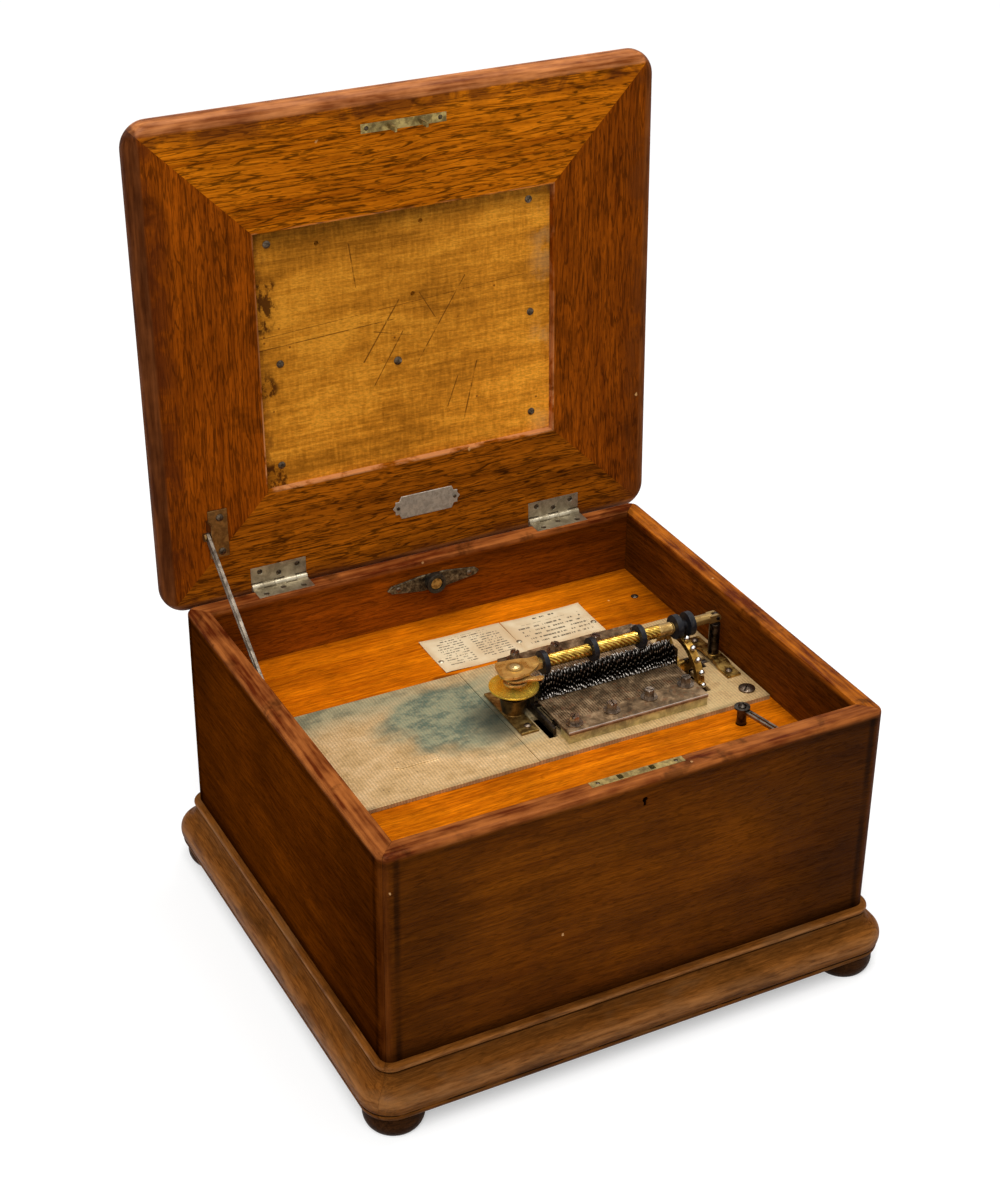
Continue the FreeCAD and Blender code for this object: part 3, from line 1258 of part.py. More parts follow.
def build():
    nodes = {}
    nodes.update(case_walls())
    nodes["bottom_board"] = bottom_board()
    nodes.update(base_moulding())
    nodes["bun_feet"] = bun_feet()
    nodes["deck_board"] = deck_board()
    nodes["deck_cleats"] = deck_cleats()
    nodes["bedplate"] = bedplate()
    nodes["motor_cover_plate"] = motor_cover_plate()
    nodes["lock_body"] = lock_body()
    nodes["lock_bolt"] = lock_bolt()
    nodes["back_wall_plate"] = back_wall_plate()
    nodes["cards"] = cards()
    nodes["card_tacks"] = card_tacks()
    nodes["stay_stud"] = stay_stud()
    nodes["stay_bar"] = stay_bar()
    nodes["stay_bracket"] = stay_bracket()
    nodes["hinge_case_leaves"] = hinge_case_leaves()
    nodes["hinge_lid_leaves"] = hinge_lid_leaves()
    nodes["case_screws"] = Part.makeCompound([case_screws(), plate_screws()])
    nodes["comb_blocks"] = comb_blocks()
    nodes["combs"] = combs()
    nodes["comb_bolts"] = comb_bolts()
    nodes["star_carrier"] = star_carrier()
    nodes["star_wheels"] = star_wheels()
    nodes["dampers"] = dampers()
    nodes["spindle_post"] = spindle_post()
    nodes["disc_rest"] = disc_rest()
    nodes["drive_wheel"] = drive_wheel()
    nodes["drive_arbor"] = drive_arbor()
    nodes["arbor_bearings"] = arbor_bearings()
    nodes["bar_post"] = bar_post()
    nodes["pressure_bar"] = pressure_bar()
    nodes["latch_hook"] = latch_hook()
    for name, x in zip(("roller_left", "roller_middle", "roller_right"), ROLLER_X):
        nodes[name] = thin_roller(x)
    nodes["edge_roller"] = edge_roller()
    nodes["stop_lever"] = stop_lever()
    nodes["motor_frame"] = motor_frame()
    nodes["spring_barrel"] = spring_barrel()
    nodes["mainspring"] = mainspring()
    nodes["winding_arbor"] = winding_arbor()
    nodes["click"] = click()
    nodes["governor_wheel"] = governor_wheel()
    nodes["governor_fan"] = governor_fan()
    nodes.update(lid_frame())
    nodes["lid_inner_panel"] = lid_inner_panel()
    nodes["lid_top_board"] = lid_top_board()
    nodes["lid_screws"] = lid_screws()
    nodes["strike_plate"] = strike_plate()
    nodes["plaque"] = plaque()
    return nodes


os.makedirs("parts", exist_ok=True)
for name, shape in build().items():
    if not shape.isValid() or not shape.Solids:
        print("check", name, shape.isValid(), len(shape.Solids))
    shape.translate(V(0, 0, FOOT_DROP))
    shape.exportStep("parts/" + name + ".step")
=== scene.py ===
import json
import math

import bmesh
import bpy
from mathutils import Matrix, Vector


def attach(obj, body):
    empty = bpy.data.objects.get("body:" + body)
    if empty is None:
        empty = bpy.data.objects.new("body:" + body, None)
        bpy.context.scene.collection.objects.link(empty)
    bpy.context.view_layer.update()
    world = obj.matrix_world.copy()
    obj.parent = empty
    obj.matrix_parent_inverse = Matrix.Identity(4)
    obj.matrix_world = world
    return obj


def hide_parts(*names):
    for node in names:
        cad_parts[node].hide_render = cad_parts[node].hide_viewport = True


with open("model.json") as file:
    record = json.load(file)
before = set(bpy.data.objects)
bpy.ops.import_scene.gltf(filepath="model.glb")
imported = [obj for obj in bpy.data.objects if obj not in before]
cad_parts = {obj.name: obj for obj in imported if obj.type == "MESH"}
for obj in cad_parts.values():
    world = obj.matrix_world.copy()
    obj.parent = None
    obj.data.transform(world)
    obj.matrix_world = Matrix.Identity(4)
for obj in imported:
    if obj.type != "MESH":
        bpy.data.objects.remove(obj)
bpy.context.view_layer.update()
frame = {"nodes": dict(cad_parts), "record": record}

MM = 0.001

# Places on the box, in metres. Heights are counted from a level LIFT above the floor.
LIFT = 0.007
CASE_HALF_X = 0.216
CASE_HALF_Y = 0.194
IN_X = 0.199
IN_Y = 0.177
RIM_Z = 0.245
DECK_Z = 0.1866
PLATE_TOP = 0.1906
HINGE_Y = 0.1986
HINGE_Z = 0.2453
LEAN = math.radians(2.09)
LID_HALF = 0.231
LID_TOP_V = 0.408
OPEN_HALF = 0.134
OPEN_LOW = 0.085
OPEN_HIGH = 0.308
ROW_Y = 0.0045
BAR_Z = 0.2317
ROLLERS = (0.0205, 0.066, 0.111)
ROLLER_GAP = 0.0029
SLEEVE_END = 0.1412
WHEEL_X = 0.152
WHEEL_Z = 0.1866
WHEEL_RIM = 0.03595
PIN_CIRCLE = 0.0384
BALL_R = 0.0027
COMB_X0 = 0.0123
COMB_X1 = 0.1423
TEETH = 58
STAR_Z = 0.2085
STAR_THICK = 0.0009
STAR_TURN = 0.26
SPINDLE_X = -0.006
DISH_Z = 0.2155
LATCH_SCREW = (-0.007, 0.0015)
FITTING = (0.005, 0.224)
CORNER_TINT = (0.12, 0.03, 0.004)

# Left, right, front and back edges of the two cards
LIST_CARD = (-0.0258, 0.0516, 0.088, 0.142)
NOTE_CARD = (0.052, 0.1296, 0.0898, 0.1404)

# How the construction's meshes are cleaned
SHARP_ANGLE = math.radians(34)
FLAT_ANGLE = math.radians(0.6)
MERGE_GAP = 0.000004

BODY_OF = {}
for body, members in frame["record"]["behaviour"]["bodies"].items():
    for member in members:
        BODY_OF[member] = body


# Arithmetic on the values inside a node tree
class Flow:
    """A value, colour or vector in a node tree. Sums and products add Math nodes."""

    def __init__(self, maker, socket):
        self.maker = maker
        self.socket = socket

    def _math(self, operation, first, second):
        return self.maker.one(operation, first, second)

    def __add__(self, other):
        return self._math("ADD", self, other)

    def __radd__(self, other):
        return self._math("ADD", other, self)

    def __sub__(self, other):
        return self._math("SUBTRACT", self, other)

    def __rsub__(self, other):
        return self._math("SUBTRACT", other, self)

    def __mul__(self, other):
        return self._math("MULTIPLY", self, other)

    def __rmul__(self, other):
        return self._math("MULTIPLY", other, self)

    def __truediv__(self, other):
        return self._math("DIVIDE", self, other)

    def __rtruediv__(self, other):
        return self._math("DIVIDE", other, self)


class Maker:
    """A node tree being built, for a finish or a shape."""

    def feed(self, socket, value):
        if isinstance(value, Flow):
            self.tree.links.new(value.socket, socket)
        else:
            socket.default_value = value

    def node(self, kind, settings=None, sockets=None, out=0):
        made = self.tree.nodes.new(kind)
        for key, value in (settings or {}).items():
            if key == "stops":
                self.set_stops(made.color_ramp, value)
            else:
                setattr(made, key, value)
        for key, value in (sockets or {}).items():
            self.feed(made.inputs[key], value)
        return Flow(self, made.outputs[out])

    def set_stops(self, ramp, stops):
        while len(ramp.elements) < len(stops):
            ramp.elements.new(0.5)
        for element, (place, colour) in zip(ramp.elements, stops):
            element.position = place
            element.color = (*colour, 1.0)

    def one(self, operation, value, other=0.0):
        return self.node("ShaderNodeMath", {"operation": operation}, {0: value, 1: other})

    def vector(self, x=0.0, y=0.0, z=0.0):
        return self.node("ShaderNodeCombineXYZ", None, {0: x, 1: y, 2: z})


class Paint(Maker):
    """One finish being mixed, or the sky, with the nodes it needs."""

    def __init__(self, name, library="materials", surface="Principled BSDF"):
        self.owner = getattr(bpy.data, library).new(name)
        self.owner.use_nodes = True
        self.tree = self.owner.node_tree
        self.surface = self.tree.nodes[surface]

    def place(self):
        spot = self.node("ShaderNodeTexCoord", out=3)
        x, y, z = [self.node("ShaderNodeSeparateXYZ", None, {0: spot}, out=i) for i in range(3)]
        return x, y, z - LIFT

    def noise(self, where, detail=2.0, rough=0.5, twist=0.0):
        sockets = {"Vector": where, "Scale": 1.0, "Detail": detail, "Roughness": rough, "Distortion": twist}
        return self.node("ShaderNodeTexNoise", None, sockets)

    def mottle(self, spot, scale, detail=2.0, rough=0.5, twist=0.0):
        """Noise over a place, with one scale or a scale for each axis."""
        scales = scale if isinstance(scale, tuple) else (scale, scale, scale)
        where = self.vector(*[value * size for value, size in zip(spot, scales)])
        return self.noise(where, detail, rough, twist)

    def cells(self, spot, scale):
        where = self.vector(*[value * scale for value in spot])
        return self.node("ShaderNodeTexVoronoi", None, {"Vector": where, "Scale": 1.0})

    def step(self, value, low, high, start=0.0, end=1.0):
        settings = {"interpolation_type": "SMOOTHSTEP", "clamp": True}
        return self.node("ShaderNodeMapRange", settings, {0: value, 1: low, 2: high, 3: start, 4: end})

    def band(self, value, low, full, past, high):
        """1 between full and past, 0 below low and above high."""
        return self.step(value, low, full) * self.step(value, high, past)

    def vary(self, noise, start, end):
        """From start to end as a noise goes over its usual range."""
        return self.step(noise, 0.3, 0.7, start, end)

    def away(self, value):
        return self.one("ABSOLUTE", value)

    def most(self, first, second):
        return self.one("MAXIMUM", first, second)

    def length(self, across, along):
        return self.one("SQRT", across * across + along * along)

    def seen(self):
        """1 for rays from the camera, mirrors and glass, 0 for light that lands on things."""
        rays = [self.node("ShaderNodeLightPath", out=i) for i in (0, 3, 6)]
        return self.most(self.most(rays[0], rays[1]), rays[2])

    def ramp(self, value, stops):
        return self.node("ShaderNodeValToRGB", {"stops": stops}, {0: value})

    def mix(self, first, second, share):
        def as_colour(c):
            return c if isinstance(c, Flow) else (*c, 1.0)
        sockets = {0: share, 6: as_colour(first), 7: as_colour(second)}
        return self.node("ShaderNodeMix", {"data_type": "RGBA"}, sockets, out=2)

    def shade(self, colour, amount):
        return self.node("ShaderNodeVectorMath", {"operation": "SCALE"}, {0: colour, "Scale": amount})

    def darken(self, colour, mask, depth):
        return self.shade(colour, 1.0 - mask * depth)

    def bump(self, height, depth, strength=0.6):
        return self.node("ShaderNodeBump", None, {"Strength": strength, "Distance": depth, "Height": height})

    def scratch(self, u, v, start, end, half):
        """A thin line between two points of the plane (u, v): 1 on it, 0 away from it."""
        du, dv = end[0] - start[0], end[1] - start[1]
        size = du * du + dv * dv
        along = self.node("ShaderNodeMath", {"operation": "MULTIPLY", "use_clamp": True},
                          {0: (u - start[0]) * du + (v - start[1]) * dv, 1: 1.0 / size})
        gap = self.length(u - start[0] - along * du, v - start[1] - along * dv)
        return self.step(gap, half, half * 0.3)

    def done(self, colour, rough, normal=None, metal=0.0, coat=0.0, coat_rough=0.2, gloss=0.5, tint=None):
        pairs = {"Base Color": colour, "Roughness": rough, "Metallic": metal, "Coat Weight": coat,
                 "Coat Roughness": coat_rough, "Specular IOR Level": gloss}
        for key, value in pairs.items():
            if key == "Base Color" and not isinstance(value, Flow):
                value = (*value, 1.0)
            self.feed(self.surface.inputs[key], value)
        if tint is not None:
            self.surface.inputs["Specular Tint"].default_value = (*tint, 1.0)
        if normal is not None:
            self.feed(self.surface.inputs["Normal"], normal)
        return self.owner


# Oak: streaks and pores run along the grain, with broad darker bands
def oak(name, grain, deep, pale, seed=0.0, rough=0.46, touch=None, pore_depth=0.42, gloss=0.02, lines=330):
    p = Paint(name)
    x, y, z = spot = p.place()
    run, side, other = {"x": (x, y, z), "y": (y, x, z), "z": (z, x, y)}[grain]
    wander = p.noise(p.vector(run * 5 + seed, side * 9, other * 9), 1.0)
    sway = (wander - 0.5) * 0.011

    def stretched(along, across, shift=0.0):
        return p.vector((run + seed) * along, (side + sway) * across + shift, (other + sway) * across + shift)

    streak = p.noise(stretched(24, 430), 3.0, 0.6)
    vein = p.noise(stretched(lines * 0.085, lines, 4.7), 1.0, 0.5)
    dash = p.noise(stretched(90, 760, 2.9), 1.0)
    fine = p.noise(stretched(150, 1400, 9.1), 1.0)
    bands = p.noise(stretched(4, 80, 2.3), 2.0, 0.55, 0.6)
    broad = p.noise(stretched(3, 12, 6.6), 2.0, 0.5, 0.3)
    blotch = p.noise(p.vector(x * 22 + seed, y * 22, z * 22), 3.0, 0.6)
    tone = streak * 0.42 + bands * 0.33 + broad * 0.25
    middle = tuple((a + b) * 0.48 for a, b in zip(deep, pale))
    colour = p.ramp(tone, ((0.38, deep), (0.5, middle), (0.62, pale)))
    thin = p.step(p.away(vein - 0.5), 0.055, 0.015) * p.step(dash, 0.34, 0.5)
    pores = p.most(thin, p.step(dash, 0.42, 0.36) * 0.7)
    colour = p.shade(colour, 1.07 - pores * pore_depth)
    colour = p.shade(colour, p.vary(fine, 0.9, 1.1))
    colour = p.shade(colour, p.vary(blotch, 0.92, 1.08))
    shine = p.step(blotch, 0.35, 0.7, rough - 0.05, rough + 0.12) + pores * 0.15
    coat = 0.0
    if touch is not None:
        colour, shine, coat = touch(p, spot, colour, shine)
    grain_height = streak * 0.5 - pores * 0.9 + fine * 0.2
    normal = p.bump(grain_height, 0.00018)
    return p.done(colour, shine, normal, coat=coat, coat_rough=0.3, gloss=gloss, tint=(1.0, 0.62, 0.35))


def chips(p, spot, colour, density=52, tint=(0.55, 0.3, 0.12)):
    """A few pale nicks where the varnish is chipped."""
    x, y, z = spot
    rag = (p.mottle(spot, 400, 2.0) - 0.5) * 0.14
    near = p.cells((x, y, z * 0.7), density) + rag
    where = p.noise(p.vector(x * 9 + 3.3, y * 9, z * 9), 2.0)
    nick = p.step(near, 0.06, 0.04) * p.step(where, 0.56, 0.6) * 0.8
    return p.mix(colour, tint, nick)


def rubbed_edge(p, along, across, height, dark, worn):
    """Varnish along a rounded edge: streaks that follow it, rubbed paler here and there. On the lid's top and
    lower edges the pale tone is also a painted highlight.
    """
    streak = p.noise(p.vector(along * 14, across * 230, height * 230), 3.0, 0.6)
    patch = p.noise(p.vector(along * 26, across * 60, height * 60), 3.0, 0.6)
    middle = tuple(a * 0.55 + b * 0.45 for a, b in zip(dark, worn))
    return p.ramp(streak * 0.55 + patch * 0.45, ((0.4, dark), (0.5, middle), (0.61, worn)))


def wall_touch(along, far_end_shade=0.0, rim_worn=(0.36, 0.11, 0.024)):
    """Wear and painted shade for a case wall: a dark line by its corners, a rubbed rim, dust above the
    moulding, chips, painted shade towards its ends and inside holes through it.
    """
    out_half, skin, inner = CASE_HALF_X, CASE_HALF_Y, IN_Y
    if along == "y":
        out_half, skin, inner = CASE_HALF_Y, CASE_HALF_X, IN_X

    def touch(p, spot, colour, shine):
        x, y, z = spot
        run, other = (x, y) if along == "x" else (y, x)
        grime = p.mottle(spot, (50, 50, 12), 3.0, 0.6)
        smoke = p.noise(p.vector(x * 11, y * 11, z * 15 + 2.0), 3.0, 0.6)
        far = p.away(run)
        # Darker towards the ends of the wall, partly darker varnish and partly painted shade, with more
        # painted shade towards the +x end
        end = p.step(far, out_half - 0.125, out_half - 0.02)
        colour = p.shade(colour, 1.0 - end * 0.32 - p.step(run, 0.02, 0.2) * far_end_shade)
        colour = p.shade(colour, p.step(smoke, 0.4, 0.62, 0.82, 1.07))
        low = p.step(z, 0.15, 0.07)
        colour = p.darken(colour, low, 0.12)
        line = p.band(far, out_half - 0.0165, out_half - 0.0125, out_half - 0.011, out_half - 0.0085)
        colour = p.shade(colour, 1.0 - line * p.step(grime, 0.35, 0.58, 0.2, 0.62))
        edge = p.step(far, out_half - 0.0095, out_half - 0.004)
        corner = rubbed_edge(p, z, run, other, (0.04, 0.008, 0.001), CORNER_TINT)
        colour = p.mix(colour, corner, edge * 0.8)
        foot = p.step(z, 0.07, 0.057)
        colour = p.darken(colour, foot, 0.6)
        rim = p.step(z, RIM_Z - 0.0062, RIM_Z - 0.0016)
        rim_tone = rubbed_edge(p, run, other, z, (0.09, 0.015, 0.003), rim_worn)
        stained = p.step(p.mottle(spot, 24, 4.0, 0.65, 0.4), 0.54, 0.66)
        rim_tone = p.darken(rim_tone, stained, 0.55)
        colour = p.mix(colour, rim_tone, rim * 0.92)
        under = p.band(z, RIM_Z - 0.0125, RIM_Z - 0.0085, RIM_Z - 0.0072, RIM_Z - 0.0052)
        colour = p.darken(colour, under, 0.32)
        colour = chips(p, spot, colour)
        # Painted shade inside holes through the wall, such as the keyhole
        hole_shade = p.band(p.away(other), inner + 0.0009, inner + 0.0014, skin - 0.0014, skin - 0.0009)
        hole_shade = hole_shade * p.step(z, RIM_Z - 0.004, RIM_Z - 0.006) * p.step(far, out_half - 0.012,
                                                                           out_half - 0.014)
        colour = p.darken(colour, hole_shade, 0.88)
        return colour, shine + foot * 0.2, rim * 0.03
    return touch


def lid_spot(y, z):
    """How far a point lies up the lid from the hinge axis, and how deep behind the inner face."""
    up = (y - HINGE_Y) * math.sin(LEAN) + (z - HINGE_Z) * math.cos(LEAN)
    deep = (y - HINGE_Y) * math.cos(LEAN) - (z - HINGE_Z) * math.sin(LEAN)
    return up, deep


def lid_touch(border_tint, nose_dark, nose_worn_highlight):
    """Wear and painted light for a lid board: a darker border inside the rounded edge, a rubbed nose with a
    painted highlight on its top and lower edges and painted shade on its side edges, and a painted highlight
    along the edge of the panel's recess.
    """
    def touch(p, spot, colour, shine):
        x, y, z = spot
        up, deep = lid_spot(y, z)
        blot = p.mottle(spot, 30, 4.0, 0.65, 0.5)
        sides = p.step(p.away(x), LID_HALF - 0.034, LID_HALF - 0.014)
        top = p.step(up, LID_TOP_V - 0.03, LID_TOP_V - 0.014)
        low = p.step(up, 0.012, -0.004)
        border = p.most(p.most(sides, top), low) * p.step(blot, 0.38, 0.6, 0.15, 0.95)
        colour = p.mix(colour, border_tint, border * 0.8)
        smudge = p.step(p.noise(p.vector(x * 17 + 5.0, y * 17, z * 17), 4.0, 0.65, 0.4), 0.57, 0.66)
        colour = p.darken(colour, smudge, 0.3)
        by_side = p.step(p.away(x), LID_HALF - 0.0115, LID_HALF - 0.0085)
        by_top = p.step(up, LID_TOP_V - 0.0115, LID_TOP_V - 0.0085)
        by_low = p.step(up, 0.0005, -0.0025)
        # The side edges take a darker copy of the edge tone as painted shade; the top and lower edges keep
        # the pale tone, which is rubbed wear and a painted highlight
        side_shaded_dark = tuple(c * 0.55 for c in nose_dark)
        side_shaded_worn = tuple(c * 0.6 for c in nose_worn_highlight)
        side_shaded_tone = rubbed_edge(p, up, x, deep, side_shaded_dark, side_shaded_worn)
        top_highlight_tone = rubbed_edge(p, x, up, deep, nose_dark, nose_worn_highlight)
        colour = p.mix(colour, top_highlight_tone, p.most(by_top, by_low) * 0.9)
        colour = p.mix(colour, side_shaded_tone, by_side * 0.9)
        # Painted highlight along the edge of the panel's recess, stronger towards its lower part
        inside_x = p.step(p.away(x), OPEN_HALF + 0.0016, OPEN_HALF + 0.0008)
        inside_up = p.band(up, OPEN_LOW - 0.0016, OPEN_LOW - 0.0008, OPEN_HIGH + 0.0008, OPEN_HIGH + 0.0016)
        lip_highlight = inside_x * inside_up * p.step(blot, 0.4, 0.55) * p.step(up, 0.2, 0.12, 0.35, 1.0)
        colour = p.mix(colour, (0.6, 0.25, 0.09), lip_highlight * 0.75)
        colour = chips(p, spot, colour, 44, (0.62, 0.34, 0.12))
        return colour, shine + border * 0.06, p.most(by_top, by_low) * 0.12
    return touch


def deck_touch(p, spot, colour, shine):
    x, y, z = spot
    blot = p.mottle(spot, (13, 16, 16), 3.0, 0.6)
    colour = p.shade(colour, p.step(blot, 0.35, 0.65, 0.84, 1.08))
    # Painted shade along the foot of the walls
    beside = p.step(p.away(x), IN_X - 0.012, IN_X - 0.001)
    wall = p.most(beside, p.step(p.away(y), IN_Y - 0.012, IN_Y - 0.001))
    colour = p.darken(colour, wall, 0.3)
    # Painted shade behind the mechanism, at the rear right of the deck
    colour = p.shade(colour, 1.0 - p.step(x, 0.09, 0.17) * p.step(y, 0.05, 0.09) * 0.36)
    colour = p.shade(colour, 1.0 - p.step(y, -0.05, -0.08) * 0.08)
    stain = p.scratch(x, y, (-0.036, 0.083), (-0.016, 0.08), 0.007)
    colour = p.mix(colour, (0.1, 0.022, 0.002), stain * p.step(blot, 0.3, 0.6) * 0.8)
    colour = chips(p, spot, colour, 60, (0.75, 0.38, 0.12))
    return colour, shine, 0.0


def moulding_touch(along):
    """The base moulding: dust; rub with a painted highlight along its nose and bead; painted shade in its
    hollow, quirks and groove and under the nose.
    """
    def touch(p, spot, colour, shine):
        x, y, z = spot
        run, other = (x, y) if along == "x" else (y, x)
        rub = p.noise(p.vector(run * 30, other * 90, z * 260), 4.0, 0.62)
        wear = p.mottle(spot, (15, 15, 45), 3.0, 0.6)
        nose = p.band(z, 0.0205, 0.027, 0.031, 0.037)
        bead = p.band(z, 0.05, 0.052, 0.0535, 0.0555)
        # Painted highlight along the nose and bead, mixed with rubbed wear
        rubbed = p.most(nose * 0.85, bead) * p.step(rub, 0.36, 0.62)
        colour = p.mix(colour, (0.4, 0.165, 0.046), rubbed * 0.58)
        colour = p.mix(colour, (0.16, 0.076, 0.027), p.step(wear, 0.52, 0.66) * 0.34)
        colour = p.shade(colour, 1.0 - p.step(wear, 0.46, 0.34) * 0.35)
        # Painted shade in the hollow of the cove, in the quirk and in the groove below the nose
        hollow = p.band(z, 0.0495, 0.0475, 0.042, 0.036)
        colour = p.darken(colour, hollow, 0.22)
        quirk = p.band(z, 0.048, 0.0488, 0.05, 0.051)
        colour = p.darken(colour, quirk, 0.75)
        groove = p.band(z, 0.017, 0.0177, 0.0186, 0.0195)
        ragged = p.step(p.mottle(spot, 60, 3.0), 0.4, 0.52)
        colour = p.shade(colour, 1.0 - groove * p.step(ragged, 0.0, 1.0, 0.35, 0.85))
        # Painted shade under the nose: darker towards the bottom
        colour = p.shade(colour, p.step(z, 0.01, 0.0165, 0.55, 0.92))
        return colour, shine + p.step(wear, 0.45, 0.65) * 0.12, p.most(nose, bead) * 0.14
    return touch


# The yellow varnished panel in the lid
def varnished_panel(name):
    p = Paint(name)
    x, y, z = spot = p.place()
    up, _ = lid_spot(y, z)
    spot = (x, y, up)
    streak = p.mottle(spot, (18, 40, 430), 3.0, 0.62)
    cross = p.mottle(spot, (420, 40, 70), 2.0, 0.6)
    cloud = p.mottle(spot, (12, 11, 34), 3.0, 0.62, 0.6)
    wash = p.noise(p.vector(x * 4, y * 4, up * 9 + 2.0), 2.0, 0.5, 0.4)
    tone = streak * 0.24 + cross * 0.16 + cloud * 0.34 + wash * 0.26
    colour = p.ramp(tone, ((0.42, (0.265, 0.092, 0.006)), (0.5, (0.44, 0.162, 0.011)),
                           (0.58, (0.6, 0.245, 0.02))))
    weave = p.noise(p.vector(x * 260, y * 60, up * 760 + x * 90), 2.0, 0.6)
    colour = p.shade(colour, p.step(weave, 0.34, 0.62, 0.84, 1.14))
    colour = p.shade(colour, p.step(up, 0.215, 0.11, 1.0, 1.18) * p.step(x, 0.0, 0.11, 1.0, 1.16))
    ragged = p.mottle(spot, (110, 60, 70), 4.0, 0.7)
    patch = p.noise(p.vector(3.0, y * 8, up * 31 + 5.0), 1.0, 0.5)
    left = p.step(x - (patch - 0.5) * 0.05, -0.1185, -0.1235)
    spill = left * p.step(patch, 0.46, 0.54) * p.step(ragged, 0.44, 0.56)
    spill = spill * p.step(up, 0.272, 0.262)
    drip = p.step(x, -0.104, -0.131) * p.step(patch, 0.4, 0.62) * 0.4
    colour = p.mix(colour, (0.2, 0.058, 0.003), drip)
    scuff = p.step(x, -0.118, -0.128) * p.step(ragged, 0.5, 0.6)
    colour = p.mix(colour, (0.2, 0.068, 0.008), scuff * 0.55)
    colour = p.mix(colour, (0.055, 0.014, 0.002), spill * 0.9)
    right = p.step(x, 0.108, 0.131) * p.step(patch + (ragged - 0.5) * 0.6, 0.46, 0.66)
    colour = p.mix(colour, (0.46, 0.33, 0.16), right * 0.26)
    # Painted shadow cast by the top edge of the recess onto the panel
    recess_shadow = p.step(up, 0.284, 0.308)
    colour = p.shade(colour, 1.0 - recess_shadow * p.step(ragged, 0.35, 0.65, 0.3, 0.62))
    lines = (((-0.05, 0.285), (-0.045, 0.247), 0.0008), ((-0.007, 0.229), (-0.04, 0.18), 0.0009),
             ((0.054, 0.24), (0.009, 0.171), 0.0007), ((-0.004, 0.201), (-0.032, 0.156), 0.0007),
             ((0.064, 0.161), (0.051, 0.109), 0.0009), ((0.046, 0.151), (0.036, 0.125), 0.0007),
             ((-0.03, 0.205), (0.004, 0.196), 0.0006), ((-0.133, 0.207), (-0.012, 0.213), 0.0007),
             ((0.012, 0.232), (0.026, 0.208), 0.0006), ((-0.133, 0.217), (0.12, 0.232), 0.0004))
    marks = None
    for start, end, half in lines:
        line = p.scratch(x, up, start, end, half)
        marks = line if marks is None else p.most(marks, line)
    broken = p.step(ragged, 0.34, 0.52)
    colour = p.mix(colour, (0.1, 0.03, 0.003), marks * broken * 0.85)
    spots = p.step(p.cells(spot, 70), 0.09, 0.05) * p.step(wash, 0.5, 0.55)
    colour = p.mix(colour, (0.12, 0.03, 0.004), spots * 0.8)
    rough = p.vary(cloud, 0.34, 0.5)
    normal = p.bump(streak * 0.6 + cross * 0.2 - marks * broken, 0.00014, 0.55)
    return p.done(colour, rough, normal, coat=0.0, gloss=0.04, tint=(1.0, 0.75, 0.4))


# Metals
def metal(name, dull, bright, rough=0.35, grime=(0.03, 0.02, 0.012), dirt=0.45, size=120.0, spread=0.16,
          metallic=1.0, keyhole_shade_below=None):
    p = Paint(name)
    x, y, z = spot = p.place()
    mottle = p.noise(p.vector(x * size, y * size, z * size), 4.0, 0.65, 0.3)
    grit = p.noise(p.vector(x * size * 9, y * size * 9, z * size * 9), 3.0, 0.6)
    patch = p.noise(p.vector(x * size * 0.35 + 4.0, y * size * 0.35, z * size * 0.35), 3.0, 0.6)
    colour = p.mix(dull, bright, p.step(mottle, 0.36, 0.64))
    soiled = p.step(patch, 0.44, 0.66) * p.step(grit, 0.3, 0.62, 0.5, 1.0) * dirt
    colour = p.mix(colour, grime, soiled)
    # Painted shade on the lock body's front face, which shows through the keyhole
    if keyhole_shade_below is not None:
        keyhole_shade = p.step(z, keyhole_shade_below, keyhole_shade_below - 0.001) * p.step(y, -0.18, -0.1815)
        colour = p.darken(colour, keyhole_shade, 0.94)
    shine = p.vary(mottle, rough + spread * 0.6, rough - spread * 0.4) + soiled * 0.25
    normal = p.bump(grit * 0.6 + mottle * 0.5, 0.00008)
    return p.done(colour, shine, normal, metal=metallic)


